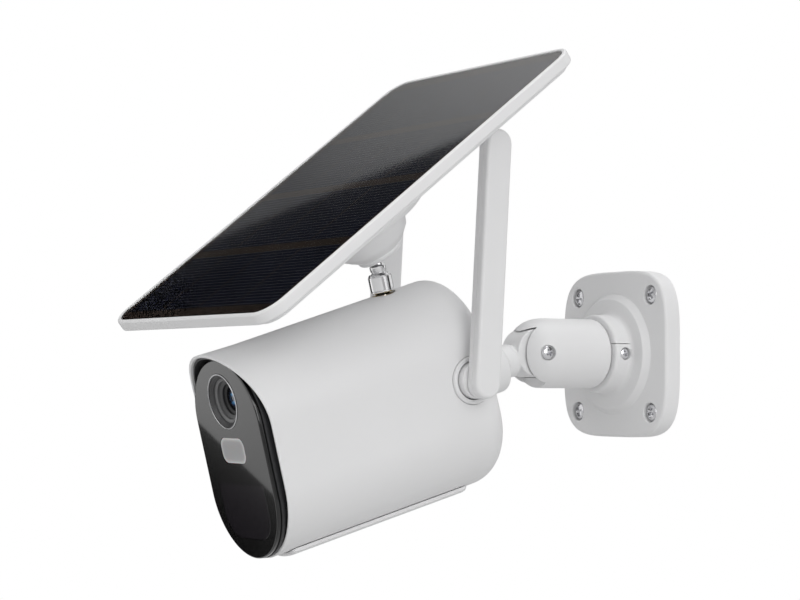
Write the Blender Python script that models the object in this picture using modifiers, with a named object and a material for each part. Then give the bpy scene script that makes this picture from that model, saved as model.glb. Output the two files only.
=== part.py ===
"""Solar-powered security camera on a wall bracket, with a tilting panel and two fold-back antennas.

Metres, +Z up. The wall is the plane y = 0 and the camera looks towards -Y. The origin is the
centre of the wall plate's back face. Run with: blender --background --python part.py
"""

import math

import bmesh
import bpy
from mathutils import Matrix, Vector

MM = 0.001
GAP = 0.3 * MM                  # between neighbours that touch on the real object
ROUND = 32                      # sides of a large round piece
SMALL_ROUND = 16                # sides of a small one

# Wall plate
PLATE_HALF = 34.5 * MM
PLATE_THICK = 7.5 * MM
PLATE_POWER = 4.2               # exponent of the plate's bulged square
PLATE_WALL = 2.6 * MM
HOLE_HALF_PITCH = 24.0 * MM
HOLE_R = 2.4 * MM
HEAD_SEAT_R = 4.0 * MM
HEAD_SEAT_DEPTH = 2.8 * MM
RING_BASE_R = 24.9 * MM
RING_TOP_R = 22.8 * MM
RING_HEIGHT = 2.95 * MM
COLLAR_R = 16.3 * MM
COLLAR_TOP = 18.4 * MM          # from the wall
SPIGOT_R = 10.0 * MM
SPIGOT_END = 4.0 * MM           # from the wall
GROOVE_DEPTH = 1.6 * MM
CLAMP_HEIGHT = 13.6 * MM        # of the clamp screw, from the wall

# Arm and tilt hinge
TUBE_R = 14.26 * MM
PIVOT_OUT = 50.5 * MM           # tilt pivot, from the wall
CHEEK_CENTRE_OUT = 44.2 * MM    # centre of the cheeks' round ends
SLOT_HALF = 7.1 * MM
SLOT_CLEAR = 0.6 * MM           # from the knuckle's barrel to the slot's closed end
SLOT_ABOVE, SLOT_BELOW = 46, 104    # degrees from straight ahead between which the slot is open
EYE_R = 9.8 * MM
EYE_HALF = 6.0 * MM
NECK_R = 6.7 * MM
NECK_ROOT_R = 5.9 * MM
PIVOT_R = 2.0 * MM
PIVOT_CLEAR = 0.3 * MM
WASHER_R = 5.4 * MM

# Camera head, measured along its axis (f, forward from the tilt pivot) and across it (u, up)
HEAD_PITCH = math.radians(14.14)
NECK_PITCH = math.radians(17.3)
BOSS_FRONT = 17.6 * MM
BOSS_R = 10.8 * MM
STUD_R = 3.0 * MM
STUD_LENGTH = 4.6 * MM
SHELL_WALL = 2.0 * MM
SHELL_BACK = 36.2 * MM
SHELL_FILLET = 8.5 * MM
SHELL_RIM = 137.6 * MM
BACK_HALF, BACK_TOP, BACK_BOTTOM = 29.5 * MM, 39.9 * MM, -43.2 * MM
RIM_HALF, RIM_TOP, RIM_BOTTOM = 28.0 * MM, 34.1 * MM, -45.9 * MM
BROW_START = 4.0 * MM           # height where the hood starts to grow
BROW_GROWTH = 9.8               # per metre, of the square of the height above that
SECTION_POINTS = 8              # per quarter of the oval

FACE_FRONT = 141.0 * MM
FACE_THICK = 1.6 * MM
FACE_HALF, FACE_TOP, FACE_BOTTOM = 24.2 * MM, 31.0 * MM, -45.2 * MM
FRAME_LIP = 0.5 * MM            # black frame shows this much around the face
FRAME_DEPTH = 13.0 * MM
FRAME_WALL = 1.7 * MM
FRAME_FLOOR = 2.0 * MM
LENS_U = 15.2 * MM
LENS_RING_R = 10.6 * MM
LENS_R = 4.6 * MM
BARREL_R = 7.0 * MM
LIGHT_U = -3.6 * MM
LIGHT_HALF, LIGHT_HALF_HIGH, LIGHT_CORNER = 8.9 * MM, 4.9 * MM, 3.6 * MM
SENSE_TOP, SENSE_BOTTOM = -16.4 * MM, -37.6 * MM
SENSE_HALF, SENSE_CORNER = 17.3 * MM, 10.0 * MM

CELL_R = 9.2 * MM
CELL_LENGTH = 65.0 * MM
CELL_BACK = 60.0 * MM
CELL_SPREAD = 9.9 * MM
CELL_LOW_U = -28.5 * MM

# Cover under the body
DOOR_BACK, DOOR_FRONT = 50.0 * MM, 131.0 * MM
DOOR_THICK = 1.5 * MM
DOOR_ANGLE = math.radians(23)

# Antennas
ANTENNA_F, ANTENNA_U = 49.3 * MM, 0.8 * MM
ANTENNA_LEAN = math.radians(3.2)
SOCKET_R = 9.3 * MM
SOCKET_OUT = 1.0 * MM
HUB_R = 7.1 * MM
HUB_CLEAR = 0.4 * MM
PADDLE_HALF = 5.6 * MM
PADDLE_THICK = 7.0 * MM
PADDLE_UP, PADDLE_DOWN = 96.0 * MM, 7.0 * MM
PADDLE_STANDOFF = 3.9 * MM      # inner face of the paddle, outside the shell's side

# Panel mount
POST_F = 62.8 * MM
BALL_U = 60.9 * MM
THREAD_R = 3.175 * MM
THREAD_CLEAR = 0.3 * MM
BALL_R = 7.5 * MM
POST_NECK_R = 2.4 * MM
POST_NECK_END = 11.3 * MM       # below the ball's centre
NUT_R = 4.65 * MM
NUT_HEIGHT = 7.3 * MM
CUP_WALL = 1.4 * MM

# Panel, measured from its glass plane along the panel's normal
PANEL_TILT = math.radians(38.15)
BALL_DEPTH = 24.5 * MM
GLASS_HALF_X, GLASS_HALF_Y = 60.64 * MM, 83.07 * MM
GLASS_CORNER = 8.5 * MM
GLASS_THICK = 1.2 * MM
SHEET_THICK = 0.9 * MM
FRAME_EDGE = 1.8 * MM
PANEL_FRAME_THICK = 4.6 * MM
PANEL_LEDGE = 5.0 * MM
BACK_THICK = 1.2 * MM
PAD_R = 28.8 * MM
PAD_DEPTH = 12.0 * MM
FLANGE_R = 28.3 * MM
FLANGE_DEPTH = 18.0 * MM
BOWL_TOP_R, BOWL_FOOT_R = 17.7 * MM, 9.0 * MM
BOWL_DEPTH = 32.3 * MM
MOUTH_R = 7.3 * MM

for old in list(bpy.data.objects):
    bpy.data.objects.remove(old, do_unlink=True)

parts = bpy.data.collections.new("solar_camera")
cutters = bpy.data.collections.new("cutters")
bpy.context.scene.collection.children.link(parts)
bpy.context.scene.collection.children.link(cutters)


def material(name, colour, roughness, metallic=0.0):
    finish = bpy.data.materials.new(name)
    finish.use_nodes = True
    shader = finish.node_tree.nodes["Principled BSDF"]
    shader.inputs["Base Color"].default_value = (*colour, 1.0)
    shader.inputs["Roughness"].default_value = roughness
    shader.inputs["Metallic"].default_value = metallic
    return finish


WHITE = material("white_plastic", (0.80, 0.80, 0.81), 0.45)
BLACK = material("black_plastic", (0.02, 0.02, 0.022), 0.4)
GLOSS = material("gloss_black", (0.01, 0.01, 0.012), 0.06)
GREY = material("grey_plastic", (0.30, 0.30, 0.31), 0.5)
DIFFUSER = material("diffuser", (0.62, 0.62, 0.62), 0.5)
STEEL = material("bright_steel", (0.75, 0.75, 0.76), 0.2, 1.0)
BRASS = material("brass", (0.70, 0.55, 0.28), 0.35, 1.0)
RUBBER = material("rubber", (0.05, 0.05, 0.05), 0.8)
BOARD = material("circuit_board", (0.02, 0.16, 0.07), 0.5)
CELL_WRAP = material("cell_wrap", (0.10, 0.25, 0.55), 0.4)
CELLS = material("solar_cells", (0.015, 0.015, 0.03), 0.3)
GLASS = material("clear_glass", (0.9, 0.92, 0.95), 0.03)


# ---- helpers -----------------------------------------------------------------------------------

def pivot(name, location, tilt=0.0, parent=None):
    """An empty on a joint's axis, turned about X, that carries a body's pieces."""
    empty = bpy.data.objects.new(name, None)
    parts.objects.link(empty)
    empty.location = location
    empty.rotation_euler = (tilt, 0.0, 0.0)
    empty.parent = parent
    return empty


def add(name, mesh, finish, parent, turn=(0.0, 0.0, 0.0), at=(0.0, 0.0, 0.0)):
    """A piece in the parts collection, placed in its parent's frame."""
    piece = bpy.data.objects.new(name, mesh)
    parts.objects.link(piece)
    piece.parent = parent
    piece.rotation_euler = turn
    piece.location = at
    if finish:
        mesh.materials.append(finish)
    return piece


def as_cutter(piece):
    parts.objects.unlink(piece)
    cutters.objects.link(piece)
    piece.hide_render = True
    piece.display_type = 'WIRE'
    return piece


def smooth(piece, angle=35):
    piece.data.shade_smooth()
    piece.data.set_sharp_from_angle(angle=math.radians(angle))
    return piece


def combine(piece, other, operation):
    step = piece.modifiers.new(operation.lower(), 'BOOLEAN')
    step.operation = operation
    step.object = other
    step.solver = 'EXACT'
    return piece


def cut(piece, *others):
    for other in others:
        combine(piece, as_cutter(other), 'DIFFERENCE')
    return piece


def join(piece, *others):
    for other in others:
        combine(piece, as_cutter(other), 'UNION')
    return piece


def soften(piece, width, segments=2, angle=40):
    step = piece.modifiers.new("soften", 'BEVEL')
    step.width = width
    step.segments = segments
    step.limit_method = 'ANGLE'
    step.angle_limit = math.radians(angle)
    return piece


def mesh_from(bm, name):
    mesh = bpy.data.meshes.new(name)
    bm.to_mesh(mesh)
    bm.free()
    return mesh


def box(name, low, high, finish=None, parent=None):
    bm = bmesh.new()
    bmesh.ops.create_cube(bm, size=1.0)
    size = [b - a for a, b in zip(low, high)]
    centre = [(a + b) / 2 for a, b in zip(low, high)]
    for vertex in bm.verts:
        vertex.co = [centre[k] + vertex.co[k] * size[k] for k in range(3)]
    return add(name, mesh_from(bm, name), finish, parent)


def slab(name, half_width, low_u, high_u, back_f, front_f, finish=None, parent=None):
    """A box in the head's frame: half width, lower and upper u, back and front f."""
    return box(name, (-half_width, -front_f, low_u), (half_width, -back_f, high_u), finish, parent)


def turned(name, profile, finish=None, parent=None, turn=(0.0, 0.0, 0.0), at=(0.0, 0.0, 0.0),
           sides=ROUND, closed=False):
    """A turned solid about its own Z: the profile is (radius, height) down its outer side."""
    bm = bmesh.new()
    points = [bm.verts.new((radius, 0.0, height)) for radius, height in profile]
    for first, second in zip(points, points[1:]):
        bm.edges.new((first, second))
    if closed:
        bm.edges.new((points[-1], points[0]))
    piece = add(name, mesh_from(bm, name), finish, parent, turn, at)
    step = piece.modifiers.new("turn", 'SCREW')
    step.steps = sides
    step.render_steps = sides
    step.use_merge_vertices = True
    step.merge_threshold = 0.00001
    step.use_normal_calculate = False
    return piece


def rod(name, radius, low, high, finish=None, parent=None, turn=(0.0, 0.0, 0.0),
        at=(0.0, 0.0, 0.0), sides=ROUND):
    """A plain cylinder about its own Z, from one height to another."""
    bm = bmesh.new()
    bmesh.ops.create_cone(bm, cap_ends=True, segments=sides, radius1=radius, radius2=radius,
                          depth=high - low, matrix=Matrix.Translation((0, 0, (low + high) / 2)))
    return add(name, mesh_from(bm, name), finish, parent, turn, at)


def arc(centre, radius, start, end, steps):
    """Points on an arc, angles in degrees, both ends included."""
    out = []
    for k in range(steps + 1):
        angle = math.radians(start + (end - start) * k / steps)
        out.append((centre[0] + radius * math.cos(angle), centre[1] + radius * math.sin(angle)))
    return out


def rounded_box(half_x, low_y, high_y, low_corner, high_corner, steps=4):
    """A rectangle's outline with its own corner radius at the bottom and at the top."""
    a, b = low_corner, high_corner
    return (arc((half_x - a, low_y + a), a, -90, 0, steps)
            + arc((half_x - b, high_y - b), b, 0, 90, steps)
            + arc((-half_x + b, high_y - b), b, 90, 180, steps)
            + arc((-half_x + a, low_y + a), a, 180, 270, steps))


def plate(name, outline, low, high, finish=None, parent=None, turn=(0.0, 0.0, 0.0),
          at=(0.0, 0.0, 0.0)):
    """A flat outline in its own XY, thickened from one height to another along its own Z."""
    curve = bpy.data.curves.new(name, 'CURVE')
    curve.dimensions = '2D'
    curve.fill_mode = 'BOTH'
    curve.extrude = (high - low) / 2
    spline = curve.splines.new('POLY')
    spline.points.add(len(outline) - 1)
    for point, (x, y) in zip(spline.points, outline):
        point.co = (x, y, 0.0, 1.0)
    spline.use_cyclic_u = True
    holder = bpy.data.objects.new(name + "_outline", curve)
    parts.objects.link(holder)
    bpy.context.view_layer.update()
    seen = holder.evaluated_get(bpy.context.evaluated_depsgraph_get())
    mesh = bpy.data.meshes.new_from_object(seen)
    bpy.data.objects.remove(holder, do_unlink=True)
    bm = bmesh.new()
    bm.from_mesh(mesh)
    bmesh.ops.remove_doubles(bm, verts=bm.verts, dist=0.00001)
    bmesh.ops.dissolve_limit(bm, angle_limit=math.radians(0.02), verts=bm.verts, edges=bm.edges)
    bmesh.ops.translate(bm, verts=bm.verts, vec=(0, 0, (low + high) / 2))
    bmesh.ops.recalc_face_normals(bm, faces=bm.faces)
    bm.to_mesh(mesh)
    bm.free()
    mesh.name = name
    mesh.materials.clear()
    return add(name, mesh, finish, parent, turn, at)


def lofted(name, rings, finish=None, parent=None, close_back=True, close_front=True):
    """A skin through rings of equal length, each a list of (x, y, z), from back to front."""
    bm = bmesh.new()
    rows = [[bm.verts.new(point) for point in ring] for ring in rings]
    count = len(rows[0])
    for back, front in zip(rows, rows[1:]):
        for k in range(count):
            n = (k + 1) % count
            bm.faces.new((back[k], back[n], front[n], front[k]))
    if close_back:
        bm.faces.new(list(reversed(rows[0])))
    if close_front:
        bm.faces.new(rows[-1])
    bmesh.ops.recalc_face_normals(bm, faces=bm.faces)
    if not (close_back and close_front):
        middle = sum((v.co for v in bm.verts), Vector()) / len(bm.verts)
        outward = sum((f.calc_center_median() - middle).dot(f.normal) for f in bm.faces)
        if outward < 0:
            bmesh.ops.reverse_faces(bm, faces=bm.faces)
    return add(name, mesh_from(bm, name), finish, parent)


def cross_slots(name, radius, depth, top, parent, turn, at):
    """The two crossed slots of a screw head, as one cutter about its own Z."""
    half = radius * 0.17
    first = box(name + "_a", (-radius * 0.62, -half, top - depth), (radius * 0.62, half, top + MM),
                None, parent)
    second = box(name + "_b", (-half, -radius * 0.62, top - depth), (half, radius * 0.62, top + MM),
                 None, parent)
    for slot in (first, second):
        slot.rotation_euler = turn
        slot.location = at
    return first, second


def screw(name, head_r, head_high, shank_r, tip, top, parent, turn, at):
    """A cross-head screw about its own Z: the head's top and the shank's tip are heights."""
    dome = [(0.0, top)]
    dome += [(head_r * math.sin(a), top - head_high * 0.45 * (1 - math.cos(a)))
             for a in (math.radians(d) for d in (45, 90))]
    profile = dome + [(head_r, top - head_high), (shank_r, top - head_high), (shank_r, tip),
                      (0.0, tip)]
    piece = turned(name, profile, STEEL, parent, turn, at, SMALL_ROUND)
    cut(piece, *cross_slots(name + "_slot", head_r, head_high * 0.6, top, parent, turn, at))
    return smooth(piece)


ALONG_X = (0.0, math.radians(90), 0.0)              # own Z becomes +X
AGAINST_X = (0.0, math.radians(-90), 0.0)           # own Z becomes -X
FORWARD = (math.radians(90), 0.0, 0.0)              # own Z becomes -Y, own Y becomes +Z

# ---- wall mount --------------------------------------------------------------------------------

wall = pivot("wall_pivot", (0, 0, 0))


def plate_outline(half):
    """The bulged square of the wall plate."""
    out = []
    for k in range(40):
        angle = math.tau * (k + 0.5) / 40
        c, s = math.cos(angle), math.sin(angle)
        reach = half / (abs(c) ** PLATE_POWER + abs(s) ** PLATE_POWER) ** (1 / PLATE_POWER)
        out.append((reach * c, reach * s))
    return out


wall_plate = plate("wall_plate", plate_outline(PLATE_HALF), 0, PLATE_THICK, WHITE, wall, FORWARD)
soften(wall_plate, 1.4 * MM, 2, 60)
ring_top = PLATE_THICK + RING_HEIGHT
join(wall_plate, turned("ring_boss", [(0, COLLAR_TOP), (COLLAR_R - 0.8 * MM, COLLAR_TOP),
                                      (COLLAR_R, COLLAR_TOP - 0.8 * MM), (COLLAR_R, ring_top),
                                      (RING_TOP_R, ring_top),
                                      (RING_BASE_R, PLATE_THICK - 0.7 * MM),
                                      (0, PLATE_THICK - 0.7 * MM)], None, wall, FORWARD))
hollow = plate("hollow", plate_outline(PLATE_HALF - PLATE_WALL), -MM, PLATE_THICK - PLATE_WALL,
               None, wall, FORWARD)
core_r = SPIGOT_R + 3.4 * MM
cut(hollow, rod("core", core_r, -2 * MM, PLATE_THICK, None, wall, FORWARD))
hole_spots = [(x * HOLE_HALF_PITCH, z * HOLE_HALF_PITCH) for x in (-1, 1) for z in (-1, 1)]
for x, z in hole_spots:
    cut(hollow, rod("hole_post", HEAD_SEAT_R + 1.8 * MM, -2 * MM, PLATE_THICK, None, wall, FORWARD,
                    (x, 0, z), SMALL_ROUND))
cut(wall_plate, hollow)
cut(wall_plate, rod("spigot_bore", SPIGOT_R + GAP, SPIGOT_END - GAP, COLLAR_TOP + MM, None, wall,
                    FORWARD))
for x, z in hole_spots:
    seat = PLATE_THICK - HEAD_SEAT_DEPTH
    cut(wall_plate, turned("hole", [(0, PLATE_THICK + MM), (HEAD_SEAT_R, PLATE_THICK + MM),
                                    (HEAD_SEAT_R, seat), (HOLE_R, seat), (HOLE_R, -MM), (0, -MM)],
                           None, wall, FORWARD, (x, 0, z), SMALL_ROUND))
clamp_at = (0, -CLAMP_HEIGHT, 0)
clamp_head_r, clamp_shank_r = 2.3 * MM, 1.4 * MM
clamp_seat = COLLAR_R - 2.2 * MM
cut(wall_plate, turned("clamp_hole", [(0, COLLAR_R + MM), (clamp_head_r + GAP, COLLAR_R + MM),
                                      (clamp_head_r + GAP, clamp_seat),
                                      (clamp_shank_r + GAP, clamp_seat),
                                      (clamp_shank_r + GAP, 6 * MM), (0, 6 * MM)], None, wall,
                       ALONG_X, clamp_at, SMALL_ROUND))
smooth(wall_plate)
for number, (x, z) in enumerate(hole_spots, 1):
    screw(f"wall_screw_{number}", 3.4 * MM, 2.2 * MM, 1.9 * MM, GAP,
          PLATE_THICK - HEAD_SEAT_DEPTH + 2.2 * MM + GAP, wall, FORWARD, (x, 0, z))
groove_r = SPIGOT_R - GROOVE_DEPTH
screw("collar_screw", clamp_head_r, 1.7 * MM, clamp_shank_r, groove_r + GAP,
      clamp_seat + 1.7 * MM + GAP, wall, ALONG_X, clamp_at)

# ---- arm: turns in the collar about Y -----------------------------------------------------------

arm = pivot("arm_pivot", (0, 0, 0))
tube_start = COLLAR_TOP + GAP
tube_end = CHEEK_CENTRE_OUT + TUBE_R
groove_low, groove_high = CLAMP_HEIGHT - 1.8 * MM, CLAMP_HEIGHT + 1.8 * MM
arm_tube = turned("arm_tube", [(0, tube_end), (TUBE_R, tube_end), (TUBE_R, tube_start + 0.8 * MM),
                               (TUBE_R - 0.8 * MM, tube_start), (SPIGOT_R, tube_start),
                               (SPIGOT_R, groove_high), (groove_r, groove_high),
                               (groove_r, groove_low), (SPIGOT_R, groove_low),
                               (SPIGOT_R, SPIGOT_END), (0, SPIGOT_END)], WHITE, arm, FORWARD)
side_view = ([(tube_end + MM, -TUBE_R - MM), (tube_end + MM, TUBE_R + MM)]
             + arc((CHEEK_CENTRE_OUT, 0), TUBE_R + 0.01 * MM, 90, -90, 24))
nose_cutter = plate("nose_cutter", [(-a, b) for a, b in side_view], -2 * TUBE_R, 2 * TUBE_R, None,
                    arm, (math.radians(90), 0, math.radians(90)))
cut(arm_tube, nose_cutter)
pivot_at = (0, -PIVOT_OUT, 0)
slot_view = (arc((0, 0), EYE_R + SLOT_CLEAR, 180 - SLOT_ABOVE, SLOT_BELOW - 180, 20)
             + arc((0, 0), 2 * TUBE_R, 180 + SLOT_BELOW, 180 - SLOT_ABOVE, 8))
cut(arm_tube, plate("slot", slot_view, -SLOT_HALF, SLOT_HALF, None, arm,
                    (math.radians(90), 0, math.radians(90)), pivot_at))
head_seat = TUBE_R - 2.6 * MM
cut(arm_tube, turned("pivot_bore", [(0, TUBE_R + MM), (3.1 * MM, TUBE_R + MM),
                                    (3.1 * MM, head_seat), (PIVOT_R + GAP, head_seat),
                                    (PIVOT_R + GAP, -TUBE_R - MM), (0, -TUBE_R - MM)], None, arm,
                     ALONG_X, pivot_at, SMALL_ROUND))
nut_pocket = TUBE_R - 4.2 * MM
cut(arm_tube, rod("nut_pocket", 4.3 * MM, nut_pocket, TUBE_R + MM, None, arm, AGAINST_X, pivot_at, 6))
smooth(arm_tube)
screw("pivot_screw", 2.8 * MM, 1.9 * MM, PIVOT_R, -TUBE_R + 1.2 * MM, head_seat + 1.9 * MM + GAP,
      arm, ALONG_X, pivot_at)
pivot_nut = rod("pivot_nut", 3.9 * MM, nut_pocket + GAP, nut_pocket + 2.9 * MM, STEEL, arm, AGAINST_X,
                pivot_at, 6)
cut(pivot_nut, rod("nut_bore", PIVOT_R + GAP, nut_pocket - MM, TUBE_R, None, arm, AGAINST_X, pivot_at,
                   SMALL_ROUND))
for side, turn in (("right", ALONG_X), ("left", AGAINST_X)):
    washer_low, washer_high = EYE_HALF + 0.2 * MM, SLOT_HALF - 0.2 * MM
    turned(f"pivot_washer_{side}", [(WASHER_R, washer_high), (WASHER_R, washer_low),
                                    (PIVOT_R + GAP, washer_low), (PIVOT_R + GAP, washer_high)],
           BLACK, arm, turn, pivot_at, 32, True)

# ---- tilt knuckle: tilts about X between the cheeks ---------------------------------------------

knuckle = pivot("tilt_pivot", pivot_at, NECK_PITCH)
tilt_knuckle = rod("tilt_knuckle", EYE_R, -EYE_HALF, EYE_HALF, WHITE, knuckle, ALONG_X)
stud_end = BOSS_FRONT + STUD_LENGTH
join(tilt_knuckle, turned("neck", [(0, stud_end), (STUD_R, stud_end), (STUD_R, BOSS_FRONT - GAP),
                                   (NECK_R + 1.2 * MM, BOSS_FRONT - GAP),
                                   (NECK_R + 1.2 * MM, BOSS_FRONT - 1.6 * MM),
                                   (NECK_R + 0.3 * MM, BOSS_FRONT - 3.0 * MM),
                                   (NECK_R, BOSS_FRONT - 5.0 * MM), (NECK_R, 10 * MM),
                                   (NECK_ROOT_R, 6.5 * MM), (NECK_ROOT_R, 0), (0, 0)], None, knuckle,
                          FORWARD, (0, 0, 0)))
cut(tilt_knuckle, rod("eye_bore", PIVOT_R + PIVOT_CLEAR, -2 * EYE_HALF, 2 * EYE_HALF, None, knuckle,
                      ALONG_X, (0, 0, 0), SMALL_ROUND))
smooth(tilt_knuckle)

# ---- camera head --------------------------------------------------------------------------------

neck_frame = pivot("turn_pivot", pivot_at, NECK_PITCH)
head = pivot("head_frame", (0, 0, 0), HEAD_PITCH - NECK_PITCH, neck_frame)

back_centre_u = -SHELL_BACK * math.tan(NECK_PITCH - HEAD_PITCH)
boss_back = SHELL_BACK / math.cos(NECK_PITCH - HEAD_PITCH) - GAP
rear_boss = turned("rear_boss", [(0, boss_back), (BOSS_R + 1.6 * MM, boss_back),
                                 (BOSS_R + 0.5 * MM, boss_back - 0.9 * MM),
                                 (BOSS_R, boss_back - 2.2 * MM), (BOSS_R, BOSS_FRONT + 1.4 * MM),
                                 (BOSS_R - 0.5 * MM, BOSS_FRONT + 0.4 * MM),
                                 (BOSS_R - 1.4 * MM, BOSS_FRONT), (0, BOSS_FRONT)],
                   WHITE, neck_frame, FORWARD)
cut(rear_boss, rod("stud_bore", STUD_R + GAP, BOSS_FRONT - MM, stud_end + GAP, None, neck_frame,
                   FORWARD, (0, 0, 0), SMALL_ROUND))
smooth(rear_boss)


def oval(half, top, bottom):
    """An upright oval of two half circles joined by straight sides, as (x, u)."""
    quarter = 90
    return (arc((0, bottom + half), half, -quarter, 0, SECTION_POINTS)
            + arc((0, top - half), half, 0, 2 * quarter, 2 * SECTION_POINTS)
            + arc((0, bottom + half), half, 2 * quarter, 3 * quarter, SECTION_POINTS)[:-1])


def shell_section(f):
    """Half width, top and bottom of the housing at a distance along its axis."""
    start = SHELL_BACK + SHELL_FILLET
    t = (f - start) / (SHELL_RIM - start)
    return (BACK_HALF + (RIM_HALF - BACK_HALF) * t, BACK_TOP + (RIM_TOP - BACK_TOP) * t,
            BACK_BOTTOM + (RIM_BOTTOM - BACK_BOTTOM) * t)


def back_lean(u):
    """The back face is square to the neck, not to the housing."""
    return (u - back_centre_u) * math.tan(NECK_PITCH - HEAD_PITCH)


def brow(u):
    """How far the hood's edge reaches ahead of the rim at a height."""
    return BROW_GROWTH * max(u - BROW_START, 0.0) ** 2


rings = []
half, top, bottom = shell_section(SHELL_BACK + SHELL_FILLET)
for degrees in (0, 22, 44, 66):
    inset = SHELL_FILLET * (1 - math.sin(math.radians(degrees)))
    f = SHELL_BACK + SHELL_FILLET * (1 - math.cos(math.radians(degrees)))
    share = 1 - degrees / 90
    rings.append([(x, -f - share * back_lean(u), u)
                  for x, u in oval(half - inset, top - inset, bottom + inset)])
for f in (SHELL_BACK + SHELL_FILLET, 80 * MM, 110 * MM, SHELL_RIM - 8 * MM):
    rings.append([(x, -f, u) for x, u in oval(*shell_section(f))])
rings.append([(x, -SHELL_RIM - brow(u), u) for x, u in oval(*shell_section(SHELL_RIM))])
housing_shell = lofted("housing_shell", rings, WHITE, head, True, False)
skin = housing_shell.modifiers.new("wall", 'SOLIDIFY')
skin.thickness = SHELL_WALL
skin.offset = -1.0
skin.use_even_offset = True


post_top = shell_section(POST_F)[1]
insert_r = 4.7 * MM
cut(housing_shell, rod("insert_hole", insert_r + GAP, post_top - 8 * MM, post_top + 4 * MM, None, head,
                       (0, 0, 0), (0, -POST_F, 0), SMALL_ROUND))
antenna_side = shell_section(ANTENNA_F)[0]
cut(housing_shell, rod("socket_holes", SOCKET_R + GAP, -2 * antenna_side, 2 * antenna_side, None, head,
                       ALONG_X, (0, -ANTENNA_F, ANTENNA_U)))
button_f, port_f, card_f = 54 * MM, 68 * MM, 76 * MM
button_r = 1.7 * MM
cut(housing_shell, rod("button_hole", button_r + GAP, shell_section(button_f)[2] - 2 * MM,
                       shell_section(button_f)[2] + 4 * MM, None, head, (0, 0, 0), (0, -button_f, 0),
                       SMALL_ROUND))
port_half, port_deep, port_high = 4.7 * MM, 1.8 * MM, 4.2 * MM
card_half, card_deep, card_high = 6.0 * MM, 0.9 * MM, 3.6 * MM
for label, place, half_x, half_y in (("port_hole", port_f, port_half, port_deep),
                                     ("card_hole", card_f, card_half, card_deep)):
    low = shell_section(place)[2]
    cut(housing_shell, box(label, (-half_x - GAP, -place - half_y - GAP, low - 2 * MM),
                           (half_x + GAP, -place + half_y + GAP, low + 4 * MM), None, head))
smooth(housing_shell, 50)

# Front frame, gasket and face
frame_front = FACE_FRONT - FACE_THICK - GAP
rim_front = SHELL_RIM + GAP
plug_half = RIM_HALF - SHELL_WALL - 0.5 * MM
plug_top = RIM_TOP - SHELL_WALL - 0.9 * MM
plug_bottom = RIM_BOTTOM + SHELL_WALL + 0.6 * MM
plug_back = rim_front - FRAME_DEPTH


def flat_ring(outline, f):
    return [(x, -f, u) for x, u in outline]


plug = oval(plug_half, plug_top, plug_bottom)
lip = oval(FACE_HALF + FRAME_LIP + 0.5 * MM, FACE_TOP + 0.2 * MM, FACE_BOTTOM - FRAME_LIP)
lip_front = oval(FACE_HALF + FRAME_LIP, FACE_TOP + 0.1 * MM, FACE_BOTTOM - FRAME_LIP + 0.3 * MM)
front_frame = lofted("front_frame", [flat_ring(plug, plug_back), flat_ring(plug, rim_front),
                                     flat_ring(lip, rim_front), flat_ring(lip_front, frame_front)],
                     BLACK, head)
pocket = oval(plug_half - FRAME_WALL, plug_top - FRAME_WALL, plug_bottom + FRAME_WALL)
cut(front_frame, lofted("frame_pocket", [flat_ring(pocket, plug_back - MM),
                                         flat_ring(pocket, frame_front - FRAME_FLOOR)], None, head))
lens_hole_r = LENS_RING_R + GAP
light_outline = rounded_box(LIGHT_HALF, -LIGHT_HALF_HIGH, LIGHT_HALF_HIGH, LIGHT_CORNER, LIGHT_CORNER)
sense_middle = (SENSE_TOP + SENSE_BOTTOM) / 2
sense_half_high = (SENSE_TOP - SENSE_BOTTOM) / 2
sense_outline = rounded_box(SENSE_HALF, -sense_half_high, sense_half_high, SENSE_CORNER, 2.0 * MM)


def grown(outline, extra):
    """An outline about its own origin, with each point moved outwards."""
    out = []
    for x, y in outline:
        out.append((x + math.copysign(extra, x), y + math.copysign(extra, y)))
    return out


hole_low, hole_high = frame_front - 2 * FRAME_FLOOR, FACE_FRONT + 2 * MM
cut(front_frame,
    rod("frame_lens_hole", lens_hole_r, hole_low, hole_high, None, head, FORWARD, (0, 0, LENS_U)),
    plate("frame_light_hole", grown(light_outline, -1.0 * MM), hole_low, hole_high, None, head,
          FORWARD, (0, 0, LIGHT_U)),
    plate("frame_sense_hole", grown(sense_outline, -1.6 * MM), hole_low, hole_high, None, head,
          FORWARD, (0, 0, sense_middle)))
smooth(front_frame)

face_back = FACE_FRONT - FACE_THICK
front_cover = plate("front_cover", oval(FACE_HALF, FACE_TOP, FACE_BOTTOM), face_back, FACE_FRONT,
                    GLOSS, head, FORWARD)
soften(front_cover, 0.5 * MM, 2)
cut(front_cover,
    rod("lens_hole", lens_hole_r, hole_low, hole_high, None, head, FORWARD, (0, 0, LENS_U)),
    plate("light_hole", grown(light_outline, GAP / 2), hole_low, hole_high, None, head, FORWARD,
          (0, 0, LIGHT_U)),
    plate("sense_hole", grown(sense_outline, GAP / 2), hole_low, hole_high, None, head, FORWARD,
          (0, 0, sense_middle)))
smooth(front_cover)
inset = GAP / 2
plate("light_window", grown(light_outline, -inset), face_back, FACE_FRONT - 0.05 * MM, DIFFUSER, head,
      FORWARD, (0, 0, LIGHT_U))
plate("sensor_window", grown(sense_outline, -inset), face_back, FACE_FRONT - 0.05 * MM, GLOSS, head,
      FORWARD, (0, 0, sense_middle))

gasket_front = plug_back - GAP
front_gasket = lofted("front_gasket", [flat_ring(plug, gasket_front - 1.2 * MM),
                                       flat_ring(plug, gasket_front)], RUBBER, head)
cut(front_gasket, lofted("gasket_hole", [flat_ring(pocket, gasket_front - 3 * MM),
                                         flat_ring(pocket, gasket_front + 2 * MM)], None, head))

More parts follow.
